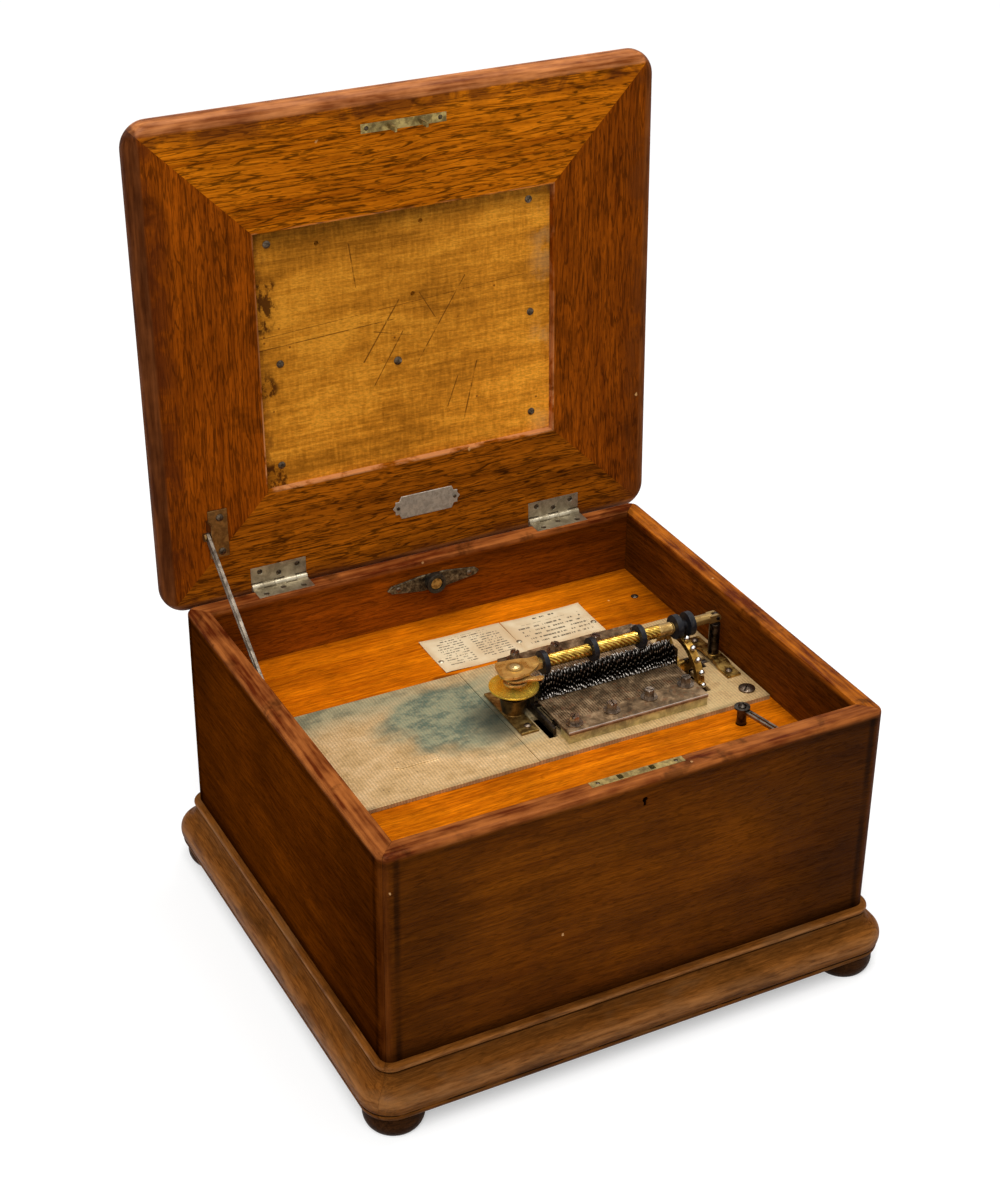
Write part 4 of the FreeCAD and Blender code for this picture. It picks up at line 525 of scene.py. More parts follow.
def bronzed_plate(name, teal_share):
    """Bedplate finish: pale gold over a fine ribbed casting, with blue-green tarnish by the spindle."""
    p = Paint(name)
    x, y, z = spot = p.place()
    rib = p.one("SINE", x * (2 * math.pi / 0.0026))
    thread = p.one("SINE", y * (2 * math.pi / 0.0017))
    ribs = rib * 0.75 + thread * 0.25
    cloud = p.mottle(spot, (45, 60, 30), 5.0, 0.68, 0.2)
    drift = p.mottle(spot, (15, 22, 13), 4.0, 0.62, 0.4)
    grit = p.mottle(spot, 600, 2.0, 0.6)
    colour = p.ramp(cloud,
                    ((0.34, (0.42, 0.27, 0.11)), (0.5, (0.56, 0.375, 0.175)), (0.66, (0.68, 0.48, 0.25))))
    colour = p.shade(colour, 1.0 + ribs * 0.2)
    colour = p.shade(colour, p.vary(grit, 0.86, 1.12))
    right = p.step(x, 0.02, 0.12)
    colour = p.mix(colour, (0.48, 0.34, 0.14), right * p.step(cloud, 0.42, 0.6) * 0.5)
    far = p.length((x + 0.046) / 0.078, (y - 0.022) / 0.064) + (drift - 0.5) * 1.7
    near = p.step(far, 1.12, 0.45)
    edge_x = (x + 0.15) / 0.09
    edge_y = (y - 0.08) / 0.04
    rear = p.step(p.one("SQRT", edge_x * edge_x * 0.4 + edge_y * edge_y) + (drift - 0.5) * 1.3, 1.15, 0.35)
    teal = p.most(near, rear * 0.8) * teal_share
    teal_tone = p.mix((0.23, 0.25, 0.155), (0.075, 0.12, 0.09), p.step(cloud, 0.58, 0.4))
    teal_tone = p.shade(teal_tone, 1.0 + ribs * 0.12)
    colour = p.mix(colour, teal_tone, teal * p.step(grit, 0.25, 0.6, 0.72, 0.96))
    core = p.step(p.length((x + 0.026) / 0.03, y / 0.038) + (drift - 0.5) * 0.9, 1.1, 0.3)
    colour = p.mix(colour, (0.032, 0.036, 0.026), core * 0.74 * teal_share)
    border = p.most(p.step(p.away(x), IN_X - 0.009, IN_X - 0.001), p.step(y, -0.061, -0.066))
    colour = p.mix(colour, (0.16, 0.11, 0.045), border * p.step(cloud, 0.42, 0.6) * 0.6)
    specks = p.step(p.cells(spot, 120), 0.12, 0.06) * p.step(drift, 0.5, 0.6)
    colour = p.mix(colour, (0.12, 0.08, 0.04), specks * 0.6)
    rough = p.vary(cloud, 0.58, 0.42) + teal * 0.15
    normal = p.bump(ribs * 0.6 + grit * 0.15 + cloud * 0.2, 0.00022)
    return p.done(colour, rough, normal, metal=0.35, gloss=0.25)


def comb_finish(name):
    """Blued steel gone brown, rust specks, and a bright worn line on the front edge."""
    p = Paint(name)
    x, y, z = spot = p.place()
    mottle = p.mottle(spot, 90, 5.0, 0.68, 0.4)
    grit = p.mottle(spot, 900, 3.0, 0.6)
    colour = p.ramp(mottle, ((0.36, (0.072, 0.043, 0.02)), (0.51, (0.185, 0.116, 0.058)),
                             (0.64, (0.36, 0.24, 0.13))))
    rust = p.step(p.noise(p.vector(x * 160 + 2.0, y * 160, z * 160), 4.0, 0.7), 0.54, 0.66)
    colour = p.mix(colour, (0.16, 0.055, 0.018), rust * 0.6)
    dots = p.step(p.cells(spot, 95), 0.16, 0.06) * p.step(grit, 0.4, 0.6)
    colour = p.mix(colour, (0.2, 0.17, 0.14), dots * 0.5)
    line = p.step(y, -0.0552, -0.0562) * p.step(z, 0.1996, 0.2008)
    colour = p.mix(colour, (0.55, 0.47, 0.4), line * 0.8)
    rough = p.vary(mottle, 0.42, 0.56) + rust * 0.15
    normal = p.bump(grit * 0.4 + mottle, 0.00008)
    return p.done(colour, rough, normal, metal=0.75)


def star_finish(name):
    """Dark hardened star wheels with their prongs rubbed bright."""
    p = Paint(name)
    x, y, z = spot = p.place()
    mottle = p.mottle(spot, (700, 300, 300), 3.0, 0.65)
    out = p.length(y - ROW_Y, z - STAR_Z)
    tip = p.step(out, 0.0086, 0.0104) * p.step(mottle, 0.4, 0.56)
    colour = p.mix((0.012, 0.009, 0.007), (0.62, 0.56, 0.49), tip)
    rough = p.vary(mottle, 0.24, 0.46)
    return p.done(colour, rough, p.bump(mottle, 0.00006, 0.5), metal=1.0)


def dish_finish(name):
    """Bright turned brass with a few darker rings and spots."""
    p = Paint(name)
    x, y, z = spot = p.place()
    out = p.length(x - SPINDLE_X, y - ROW_Y)
    turned = p.noise(p.vector(out * 1400, z * 300, 0.0), 2.0, 0.6)
    mottle = p.mottle(spot, 70, 3.0, 0.55, 0.3)
    colour = p.mix((0.84, 0.52, 0.035), (0.98, 0.74, 0.1), p.step(mottle, 0.36, 0.62))
    rim = p.step(out, 0.0188, 0.0196)
    colour = p.mix(colour, (0.42, 0.25, 0.045), rim * p.step(mottle, 0.44, 0.6) * 0.6)
    middle = p.step(out, 0.0085, 0.006)
    colour = p.mix(colour, (0.3, 0.16, 0.02), middle * 0.6)
    low = p.step(z, DISH_Z + 0.0002, DISH_Z - 0.0012)
    colour = p.mix(colour, (0.16, 0.085, 0.02), low * 0.75)
    rough = p.vary(turned, 0.2, 0.3)
    return p.done(colour, rough, p.bump(turned, 0.00004, 0.5), metal=0.78)


def cup_finish(name):
    """Spindle post: a dark bronze cup standing on a dull brass strap."""
    p = Paint(name)
    x, y, z = spot = p.place()
    mottle = p.mottle(spot, 170, 4.0, 0.68, 0.3)
    cup = p.mix((0.06, 0.032, 0.01), (0.17, 0.095, 0.03), p.step(mottle, 0.38, 0.64))
    strap = p.mix((0.17, 0.095, 0.025), (0.4, 0.26, 0.08), p.step(mottle, 0.38, 0.64))
    colour = p.mix(strap, cup, p.step(z, PLATE_TOP + 0.0022, PLATE_TOP + 0.003))
    return p.done(colour, p.vary(mottle, 0.3, 0.5), p.bump(mottle, 0.00015), metal=0.9)


def post_finish(name):
    """Bar post: blackened steel on a brass strap."""
    p = Paint(name)
    x, y, z = spot = p.place()
    mottle = p.mottle(spot, 170, 4.0, 0.68, 0.3)
    brass_tone = p.mix((0.2, 0.11, 0.024), (0.52, 0.33, 0.09), p.step(mottle, 0.38, 0.62))
    dark = p.mix((0.014, 0.01, 0.007), (0.075, 0.055, 0.04), p.step(mottle, 0.4, 0.66))
    post = p.step(z, PLATE_TOP + 0.0052, PLATE_TOP + 0.0058)
    colour = p.mix(brass_tone, dark, post)
    return p.done(colour, p.vary(mottle, 0.26, 0.48), p.bump(mottle, 0.00012), metal=1.0)


def latch_finish(name):
    """Latch plate and pressure rod: tawny brass, with a dark ring round the latch screw and a paler screw
    head.
    """
    p = Paint(name)
    x, y, z = spot = p.place()
    mottle = p.mottle(spot, 75, 4.0, 0.6, 0.3)
    grit = p.mottle(spot, 1100, 3.0, 0.6)
    colour = p.mix((0.42, 0.235, 0.055), (0.66, 0.43, 0.13), p.step(mottle, 0.36, 0.62))
    out = p.length(x - LATCH_SCREW[0], y - LATCH_SCREW[1])
    ring = p.band(out, 0.0048, 0.0053, 0.0068, 0.0076) * p.step(x, 0.004, 0.002)
    colour = p.mix(colour, (0.2, 0.115, 0.03), ring * 0.7)
    head = p.step(out, 0.0045, 0.0042)
    colour = p.mix(colour, (0.52, 0.4, 0.19), head * 0.75)
    soot = p.step(x, 0.16, 0.164)
    colour = p.mix(colour, (0.17, 0.095, 0.028), soot * 0.75)
    rough = p.vary(mottle, 0.24, 0.34) + p.step(grit, 0.5, 0.7, 0.0, 0.06)
    return p.done(colour, rough, p.bump(mottle + grit * 0.1, 0.00005, 0.5), metal=0.7)


def lever_finish(name):
    """Stop lever: blackened, with the slotted arm rubbed pale along its edges."""
    p = Paint(name)
    x, y, z = spot = p.place()
    mottle = p.mottle(spot, 220, 4.0, 0.66, 0.3)
    colour = p.mix((0.022, 0.017, 0.013), (0.095, 0.078, 0.062), p.step(mottle, 0.38, 0.64))
    arm = p.step(y, -0.094, -0.098) * p.step(z, 0.1975, 0.1985)
    colour = p.mix(colour, (0.26, 0.215, 0.165), arm * p.step(mottle, 0.36, 0.6, 0.35, 0.9))
    return p.done(colour, p.vary(mottle, 0.26, 0.46), p.bump(mottle, 0.0001, 0.5), metal=1.0)


def wall_fitting(name):
    """Dark plate on the back wall, mottled, with a brass button in its boss."""
    p = Paint(name)
    x, y, z = spot = p.place()
    mottle = p.mottle(spot, 260, 4.0, 0.68)
    colour = p.ramp(mottle,
                    ((0.38, (0.022, 0.016, 0.01)), (0.52, (0.1, 0.075, 0.042)), (0.66, (0.25, 0.2, 0.115))))
    out = p.length(x - FITTING[0], z - FITTING[1])
    ring = p.step(out, 0.0097, 0.0092) * p.step(y, 0.1747, 0.1742)
    colour = p.mix(colour, (0.03, 0.027, 0.022), ring * 0.8)
    button = p.step(out, 0.0055, 0.0053)
    brass_tone = p.mix((0.2, 0.105, 0.02), (0.46, 0.27, 0.07), p.step(mottle, 0.4, 0.6))
    colour = p.mix(colour, brass_tone, button)
    normal = p.bump(mottle, 0.0002)
    return p.done(colour, p.vary(mottle, 0.34, 0.55), normal, metal=0.85)


def paper_finish(name, place, rows_from, columns):
    """Cream card printed with plain rows of dashes."""
    left, right, front, back = place
    p = Paint(name)
    x, y, z = spot = p.place()
    wide = right - left
    fibre = p.mottle(spot, 900, 3.0, 0.6)
    stain = p.mottle(spot, 30, 3.0, 0.6)
    colour = p.mix((0.58, 0.43, 0.255), (0.68, 0.555, 0.36), p.step(stain, 0.35, 0.65))
    off_middle = p.away(x - (left + right) / 2)
    edge = p.most(p.step(off_middle, wide / 2 - 0.006, wide / 2),
                  p.step(p.away(y - (front + back) / 2), (back - front) / 2 - 0.006, (back - front) / 2))
    colour = p.mix(colour, (0.5, 0.33, 0.16), edge * 0.45)
    pitch = 0.0037 if columns else 0.006
    line = p.one("FRACT", (y - front) / pitch)
    row = p.one("FLOOR", (y - front) / pitch)
    on_row = p.band(line, 0.3, 0.36, 0.66, 0.72)
    letters = p.noise(p.vector(x * 900, row * 7.3, 0.0), 1.0)
    words = p.noise(p.vector(x * 230, row * 3.1 + 5.0, 0.0), 0.0)
    ink = p.step(letters, 0.42, 0.48) * p.step(words, 0.38, 0.42) * on_row
    body = p.band(x, left + 0.009, left + 0.0095, right - 0.0075, right - 0.007)
    body = body * p.band(y, front + 0.006, front + 0.0065, rows_from - 0.0005, rows_from)
    if columns:
        body = body * p.step(off_middle, 0.0035, 0.004)
    title_half = 0.3 if columns else 0.16
    heads = p.step(off_middle, wide * title_half, wide * (title_half - 0.01))
    title = heads * p.band(y, rows_from + 0.0015, rows_from + 0.002, back - 0.0045, back - 0.004)
    ink = ink * p.most(body * 0.92, title)
    colour = p.mix(colour, (0.06, 0.048, 0.034), ink * 0.95)
    normal = p.bump(fibre, 0.00005, 0.4)
    return p.done(colour, p.vary(fibre, 0.75, 0.9), normal, gloss=0.1)


def rubber_finish(name):
    p = Paint(name)
    x, y, z = spot = p.place()
    wear = p.mottle(spot, 220, 4.0, 0.65)
    colour = p.mix((0.006, 0.006, 0.008), (0.026, 0.022, 0.019), p.step(wear, 0.48, 0.7))
    return p.done(colour, p.vary(wear, 0.36, 0.55), p.bump(wear, 0.0001, 0.5), gloss=0.18)


def linked(name, data):
    made = bpy.data.objects.new(name, data)
    bpy.context.scene.collection.objects.link(made)
    return made


def linked_mesh(name, bm):
    mesh = bpy.data.meshes.new(name)
    bm.to_mesh(mesh)
    bm.free()
    return linked(name, mesh)


def settled(piece):
    """Keeps what the modifiers make as a plain mesh."""
    bpy.context.view_layer.update()
    graph = bpy.context.evaluated_depsgraph_get()
    mesh = bpy.data.meshes.new_from_object(piece.evaluated_get(graph))
    piece.modifiers.clear()
    piece.data = mesh
    return piece


# Cleaned copies of the construction's pieces, with their edges eased
def smoothed(piece, ease=0.0):
    piece.data.shade_smooth()
    piece.data.set_sharp_from_angle(angle=SHARP_ANGLE)
    if ease > 0:
        bevel = piece.modifiers.new("eased edges", "BEVEL")
        bevel.width = ease
        bevel.segments = 2
        bevel.limit_method = "ANGLE"
        bevel.angle_limit = SHARP_ANGLE
        bevel.harden_normals = True
        bevel.use_clamp_overlap = True
    even = piece.modifiers.new("even shading", "WEIGHTED_NORMAL")
    even.keep_sharp = True
    return settled(piece)


def copy_of(node, name, ease, without=None):
    bm = bmesh.new()
    bm.from_mesh(frame["nodes"][node].data)
    bmesh.ops.remove_doubles(bm, verts=bm.verts, dist=MERGE_GAP)
    if without is not None:
        gone = [f for f in bm.faces if without(f.calc_center_median())]
        bmesh.ops.delete(bm, geom=gone, context="FACES")
    bmesh.ops.dissolve_limit(bm, angle_limit=FLAT_ANGLE, verts=bm.verts, edges=bm.edges)
    return smoothed(linked_mesh(name, bm), ease)


def placed(piece, material, body, slot, *nodes):
    piece.data.materials.clear()
    piece.data.materials.append(material)
    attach(piece, body)
    if nodes:
        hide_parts(*nodes)
    return piece


def turned_x(name, profile, y, z):
    """A piece turned about an axis along X."""
    steps = 40
    bm = bmesh.new()
    rings = []
    for px, pr in profile:
        ring = []
        for k in range(steps):
            a = 2 * math.pi * k / steps
            ring.append(bm.verts.new((px, y + pr * math.cos(a), z + pr * math.sin(a))))
        rings.append(ring)
    for near, far in zip(rings, rings[1:]):
        for k in range(steps):
            bm.faces.new((near[k], near[(k + 1) % steps], far[(k + 1) % steps], far[k]))
    bm.faces.new(list(reversed(rings[0])))
    bm.faces.new(rings[-1])
    bmesh.ops.recalc_face_normals(bm, faces=bm.faces)
    return smoothed(linked_mesh(name, bm))


# Pieces that repeat, made by geometry trees
class Shop(Maker):
    """A geometry tree with named sizes, run once and kept as a plain mesh."""

    def __init__(self, name, sizes):
        self.name = name
        self.sizes = sizes
        self.tree = bpy.data.node_groups.new(name, "GeometryNodeTree")
        self.tree.interface.new_socket("Geometry", in_out="INPUT", socket_type="NodeSocketGeometry")
        self.keys = {}
        for key, value in sizes.items():
            kind = "NodeSocketInt" if isinstance(value, int) else "NodeSocketFloat"
            made = self.tree.interface.new_socket(key, in_out="INPUT", socket_type=kind)
            self.keys[key] = made.identifier
        self.tree.interface.new_socket("Geometry", in_out="OUTPUT", socket_type="NodeSocketGeometry")
        self.start = self.tree.nodes.new("NodeGroupInput")

    def size(self, key):
        return [Flow(self, s) for s in self.start.outputs if s.identifier == self.keys[key]][0]

    def even_turn(self, count):
        """The angle of each of the points, spread evenly round a circle."""
        return self.node("GeometryNodeInputIndex") * (2 * math.pi / self.size(count))

    def joined(self, shapes):
        made = self.tree.nodes.new("GeometryNodeJoinGeometry")
        for shape in reversed(shapes):
            self.feed(made.inputs[0], shape)
        return Flow(self, made.outputs[0])

    def run(self, shape, material):
        real = self.node("GeometryNodeRealizeInstances", None, {0: shape})
        painted = self.node("GeometryNodeSetMaterial", None, {"Geometry": real, "Material": material})
        end = self.tree.nodes.new("NodeGroupOutput")
        self.feed(end.inputs[0], painted)
        piece = linked(self.name, bpy.data.meshes.new(self.name))
        made = piece.modifiers.new("made", "NODES")
        made.node_group = self.tree
        for key, value in self.sizes.items():
            made[self.keys[key]] = value
        return settled(piece)

    def spread(self, shape, points, angle, place, material):
        """A copy of a shape on each point, turned about X, the whole moved to its place and smoothed."""
        sockets = {"Points": points, "Instance": shape, "Rotation": self.vector(angle)}
        many = self.node("GeometryNodeInstanceOnPoints", None, sockets)
        whole = self.node("GeometryNodeTransform", None, {"Geometry": many, "Translation": place})
        return smoothed(self.run(whole, material))


def rope(name, x0, x1, material):
    """Strands twisted round the pressure bar between two rollers."""
    shop = Shop(name, {"Strands": 8, "Strand radius": 0.0017, "Reach": 0.0039, "Lead": 0.034,
                       "From": x0, "To": x1, "Points": 70})
    ends = {"Start": shop.vector(shop.size("From")), "End": shop.vector(shop.size("To"))}
    line = shop.node("GeometryNodeCurvePrimitiveLine", None, ends)
    line = shop.node("GeometryNodeResampleCurve", None, {"Curve": line, "Count": shop.size("Points")})
    x = shop.node("ShaderNodeSeparateXYZ", None, {0: shop.node("GeometryNodeInputPosition")}, out=0)
    turn = x / shop.size("Lead") * (2 * math.pi)
    y = shop.one("COSINE", turn) * shop.size("Reach")
    z = shop.one("SINE", turn) * shop.size("Reach")
    line = shop.node("GeometryNodeSetPosition", None, {"Geometry": line, "Position": shop.vector(x, y, z)})
    ring = shop.node("GeometryNodeCurvePrimitiveCircle", None,
                     {"Resolution": 10, "Radius": shop.size("Strand radius")})
    strand = shop.node("GeometryNodeCurveToMesh", None,
                       {"Curve": line, "Profile Curve": ring, "Fill Caps": True})
    points = shop.node("GeometryNodePoints", None, {"Count": shop.size("Strands")})
    return shop.spread(strand, points, shop.even_turn("Strands"), (0.0, ROW_Y, BAR_Z + LIFT), material)


def drive_pins(name, material):
    """Ball-headed pins standing round the drive wheel's rim."""
    shop = Shop(name, {"Pins": 22, "Ball radius": BALL_R, "Pin circle": PIN_CIRCLE, "Stem radius": 0.0015,
                       "First pin": math.radians(360 * 0.35 / 22 - 90)})
    ball = shop.node("GeometryNodeMeshUVSphere", None,
                     {"Segments": 18, "Rings": 12, "Radius": shop.size("Ball radius")})
    up = shop.vector(z=shop.size("Pin circle"))
    ball = shop.node("GeometryNodeTransform", None, {"Geometry": ball, "Translation": up})
    stem = shop.node("GeometryNodeMeshCylinder", None,
                     {"Vertices": 14, "Radius": shop.size("Stem radius"), "Depth": 0.006})
    low = shop.vector(z=shop.size("Pin circle") - 0.0035)
    stem = shop.node("GeometryNodeTransform", None, {"Geometry": stem, "Translation": low})
    points = shop.node("GeometryNodePoints", None, {"Count": shop.size("Pins")})
    turn = shop.even_turn("Pins") + shop.size("First pin")
    return shop.spread(shop.joined([ball, stem]), points, turn, (WHEEL_X, ROW_Y, WHEEL_Z + LIFT), material)


def star_row(name, material):
    """Star wheels side by side on their axle, each turned a little differently."""
    pitch = (COMB_X1 - COMB_X0) / TEETH
    shop = Shop(name, {"Stars": TEETH - 1, "Prongs": 12, "Prong radius": 0.0107, "Root radius": 0.0072,
                       "Thickness": STAR_THICK, "Pitch": pitch, "Seed": 7})
    star = shop.node("GeometryNodeCurveStar", None,
                     {"Points": shop.size("Prongs"), "Inner Radius": shop.size("Root radius"),
                      "Outer Radius": shop.size("Prong radius"), "Twist": 0.16})
    flat = shop.node("GeometryNodeFillCurve", {"mode": "NGONS"}, {"Curve": star})
    raised = shop.node("GeometryNodeExtrudeMesh", {"mode": "FACES"},
                       {"Mesh": flat, "Offset Scale": shop.size("Thickness"), "Individual": False})
    back = shop.node("GeometryNodeFlipFaces", None, {"Mesh": flat})
    solid = shop.node("GeometryNodeMergeByDistance", None,
                      {"Geometry": shop.joined([raised, back]), "Distance": 0.000002})
    solid = shop.node("GeometryNodeTransform", None, {"Geometry": solid, "Rotation": (0.0, math.pi / 2, 0.0)})
    points = shop.node("GeometryNodePoints", None, {"Count": shop.size("Stars")})
    shift = shop.node("GeometryNodeInputIndex") * shop.size("Pitch")
    row = shop.node("GeometryNodeSetPosition", None, {"Geometry": points, "Position": shop.vector(shift)})
    turn = shop.node("FunctionNodeRandomValue", {"data_type": "FLOAT"},
                     {2: -STAR_TURN, 3: STAR_TURN, "Seed": shop.size("Seed")}, out=1)
    start = COMB_X0 + 1.5 * pitch - STAR_THICK / 2
    return shop.spread(solid, row, turn, (start, ROW_Y, STAR_Z + LIFT), material)


def card(name, place, curl):
    """A paper card lying on the deck with its corners lifting a little."""
    left, right, front, back = place
    bm = bmesh.new()
    nx, ny = 26, 18
    grid = []
    for j in range(ny + 1):
        row = []
        for i in range(nx + 1):
            u, v = i / nx, j / ny
            lift = 0.0
            for cu, cv, h in curl:
                near = max(0.0, 1.0 - math.hypot((u - cu) * 1.5, v - cv) / 0.55)
                lift += h * near * near
            lift += 0.00012 * math.sin(9 * u + 2 * v) + 0.00012
            height = DECK_Z + LIFT + 0.0004 + lift
            row.append(bm.verts.new((left + u * (right - left), front + v * (back - front), height)))
        grid.append(row)
    for j in range(ny):
        for i in range(nx):
            bm.faces.new((grid[j][i], grid[j][i + 1], grid[j + 1][i + 1], grid[j + 1][i]))
    piece = linked_mesh(name, bm)
    thick = piece.modifiers.new("thickness", "SOLIDIFY")
    thick.thickness = 0.0003
    thick.offset = -1.0
    return smoothed(piece)


# Finishes
front_oak = oak("front oak", "x", (0.082, 0.019, 0.0008), (0.15, 0.039, 0.0018), 0.0, pore_depth=0.36,
                touch=wall_touch("x", 0.26), lines=380)
back_oak = oak("back oak", "x", (0.135, 0.026, 0.0008), (0.29, 0.062, 0.002), 1.7,
               touch=wall_touch("x"))
left_oak = oak("left side oak", "y", (0.062, 0.012, 0.0003), (0.128, 0.028, 0.0008), 3.1, pore_depth=0.36,
               gloss=0.0, touch=wall_touch("y"))
right_oak = oak("right side oak", "y", (0.072, 0.016, 0.0007), (0.175, 0.044, 0.0026), 4.4,
                touch=wall_touch("y", 0.0, (0.46, 0.13, 0.01)))
deck_oak = oak("deck oak", "x", (0.36, 0.072, 0.0006), (0.72, 0.185, 0.0022), 5.3, rough=0.42,
               touch=deck_touch, pore_depth=0.3, lines=280)
moulding_front = oak("moulding oak front", "x", (0.085, 0.025, 0.0032), (0.19, 0.064, 0.0105), 7.9,
                     pore_depth=0.3, touch=moulding_touch("x"))
moulding_side = oak("moulding oak side", "y", (0.095, 0.027, 0.0034), (0.225, 0.074, 0.0115), 9.2,
                    pore_depth=0.3, touch=moulding_touch("y"))
top_rail_oak = oak("lid front rail oak", "x", (0.255, 0.058, 0.001), (0.64, 0.18, 0.0044), 11.4,
                   pore_depth=0.78,
                   touch=lid_touch((0.085, 0.018, 0.004), (0.15, 0.034, 0.006),
                                   (0.52, 0.19, 0.06)), lines=250)
low_rail_oak = oak("lid rear rail oak", "x", (0.138, 0.032, 0.0011), (0.385, 0.102, 0.0036), 12.9,
                   pore_depth=0.78,
                   touch=lid_touch((0.085, 0.018, 0.004), (0.1, 0.024, 0.005),
                                   (0.3, 0.095, 0.026)), lines=250)
left_touch = lid_touch((0.07, 0.014, 0.003), (0.075, 0.019, 0.005), (0.24, 0.07, 0.018))
right_touch = lid_touch((0.11, 0.026, 0.004), (0.14, 0.034, 0.006), (0.42, 0.12, 0.022))
left_stile_oak = oak("left stile oak", "z", (0.13, 0.0245, 0.0008), (0.3, 0.063, 0.002), 13.8,
                     touch=left_touch, pore_depth=0.58, lines=250)
right_stile_oak = oak("right stile oak", "z", (0.12, 0.0225, 0.0007), (0.285, 0.061, 0.0019), 6.4,
                      touch=right_touch, pore_depth=0.58, lines=250)
outer_oak = oak("lid outer oak", "x", (0.075, 0.016, 0.0008), (0.185, 0.05, 0.0026), 15.1)
raw_oak = oak("plain board", "x", (0.3, 0.18, 0.085), (0.46, 0.31, 0.16), 17.5, rough=0.7)
foot_wood = oak("dark foot wood", "x", (0.014, 0.0045, 0.0014), (0.042, 0.015, 0.0045), 19.0, rough=0.4)
panel_wood = varnished_panel("varnished panel")
plate_left = bronzed_plate("bronzed cover plate", 1.0)
plate_right = bronzed_plate("bronzed bedplate", 0.9)
comb_steel = comb_finish("brown comb steel")
block_brass = metal("dirty block brass", (0.34, 0.27, 0.11), (0.62, 0.53, 0.24), 0.46, (0.12, 0.078, 0.034),
                    0.5, 90, metallic=0.6)
old_brass = metal("aged brass", (0.3, 0.15, 0.025), (0.56, 0.33, 0.07), 0.3, (0.09, 0.045, 0.012), 0.55, 110)
hook_brass = metal("hook brass", (0.42, 0.235, 0.06), (0.7, 0.45, 0.145), 0.26, (0.16, 0.08, 0.018), 0.3, 80,
                   spread=0.1, metallic=0.75)
sleeve_brass = metal("sleeve brass", (0.32, 0.185, 0.05), (0.56, 0.36, 0.12), 0.3, (0.12, 0.06, 0.015), 0.35,
                     130, metallic=0.8)
lock_brass = metal("lock plate brass", (0.17, 0.115, 0.032), (0.42, 0.305, 0.1), 0.42, (0.05, 0.032, 0.012),
                   0.6, 180, keyhole_shade_below=RIM_Z - 0.004, metallic=0.7)
rope_brass = metal("rope brass", (0.34, 0.19, 0.028), (0.74, 0.5, 0.105), 0.24, (0.12, 0.06, 0.012), 0.45,
                   200)
nickel = metal("nickel plate", (0.25, 0.205, 0.13), (0.5, 0.435, 0.31), 0.34, (0.11, 0.08, 0.042), 0.5, 90,
               metallic=0.85)
stay_metal = metal("stay bar metal", (0.085, 0.062, 0.042), (0.24, 0.195, 0.145), 0.4, (0.04, 0.026, 0.016),
                   0.45, 110, metallic=0.7)
silvered = metal("silvered plate", (0.3, 0.255, 0.2), (0.49, 0.43, 0.35), 0.42, (0.16, 0.13, 0.095), 0.4, 260,
                 metallic=0.7)
chrome = metal("bright balls", (0.42, 0.38, 0.33), (0.78, 0.75, 0.71), 0.14, (0.07, 0.055, 0.04), 0.45, 300)
bolt_steel = metal("bolt steel", (0.15, 0.112, 0.082), (0.42, 0.34, 0.27), 0.27, (0.03, 0.02, 0.014), 0.25,
                   150, spread=0.08)
star_steel = star_finish("star steel")
dark_steel = metal("dark steel", (0.03, 0.023, 0.018), (0.1, 0.08, 0.062), 0.38, (0.012, 0.009, 0.007), 0.5,
                   160)
bronze = metal("brown bronze", (0.15, 0.075, 0.022), (0.3, 0.17, 0.055), 0.36, (0.05, 0.025, 0.01), 0.5, 150)
screw_steel = metal("screw steel", (0.075, 0.05, 0.032), (0.235, 0.18, 0.13), 0.34, (0.03, 0.018, 0.01), 0.5,
                    340)
dark_screw = metal("dark screws", (0.04, 0.026, 0.016), (0.14, 0.105, 0.07), 0.36, (0.025, 0.014, 0.008),
                   0.5, 340)
fitting_finish = wall_fitting("back wall fitting")
dish_brass = dish_finish("dish brass")
cup_bronze = cup_finish("spindle post bronze")
post_metal = post_finish("bar post metal")
latch_brass = latch_finish("latch brass")
lever_metal = lever_finish("lever metal")
rubber = rubber_finish("black roller")
list_paper = paper_finish("list card", LIST_CARD, 0.1315, True)
note_paper = paper_finish("note card", NOTE_CARD, 0.1285, False)

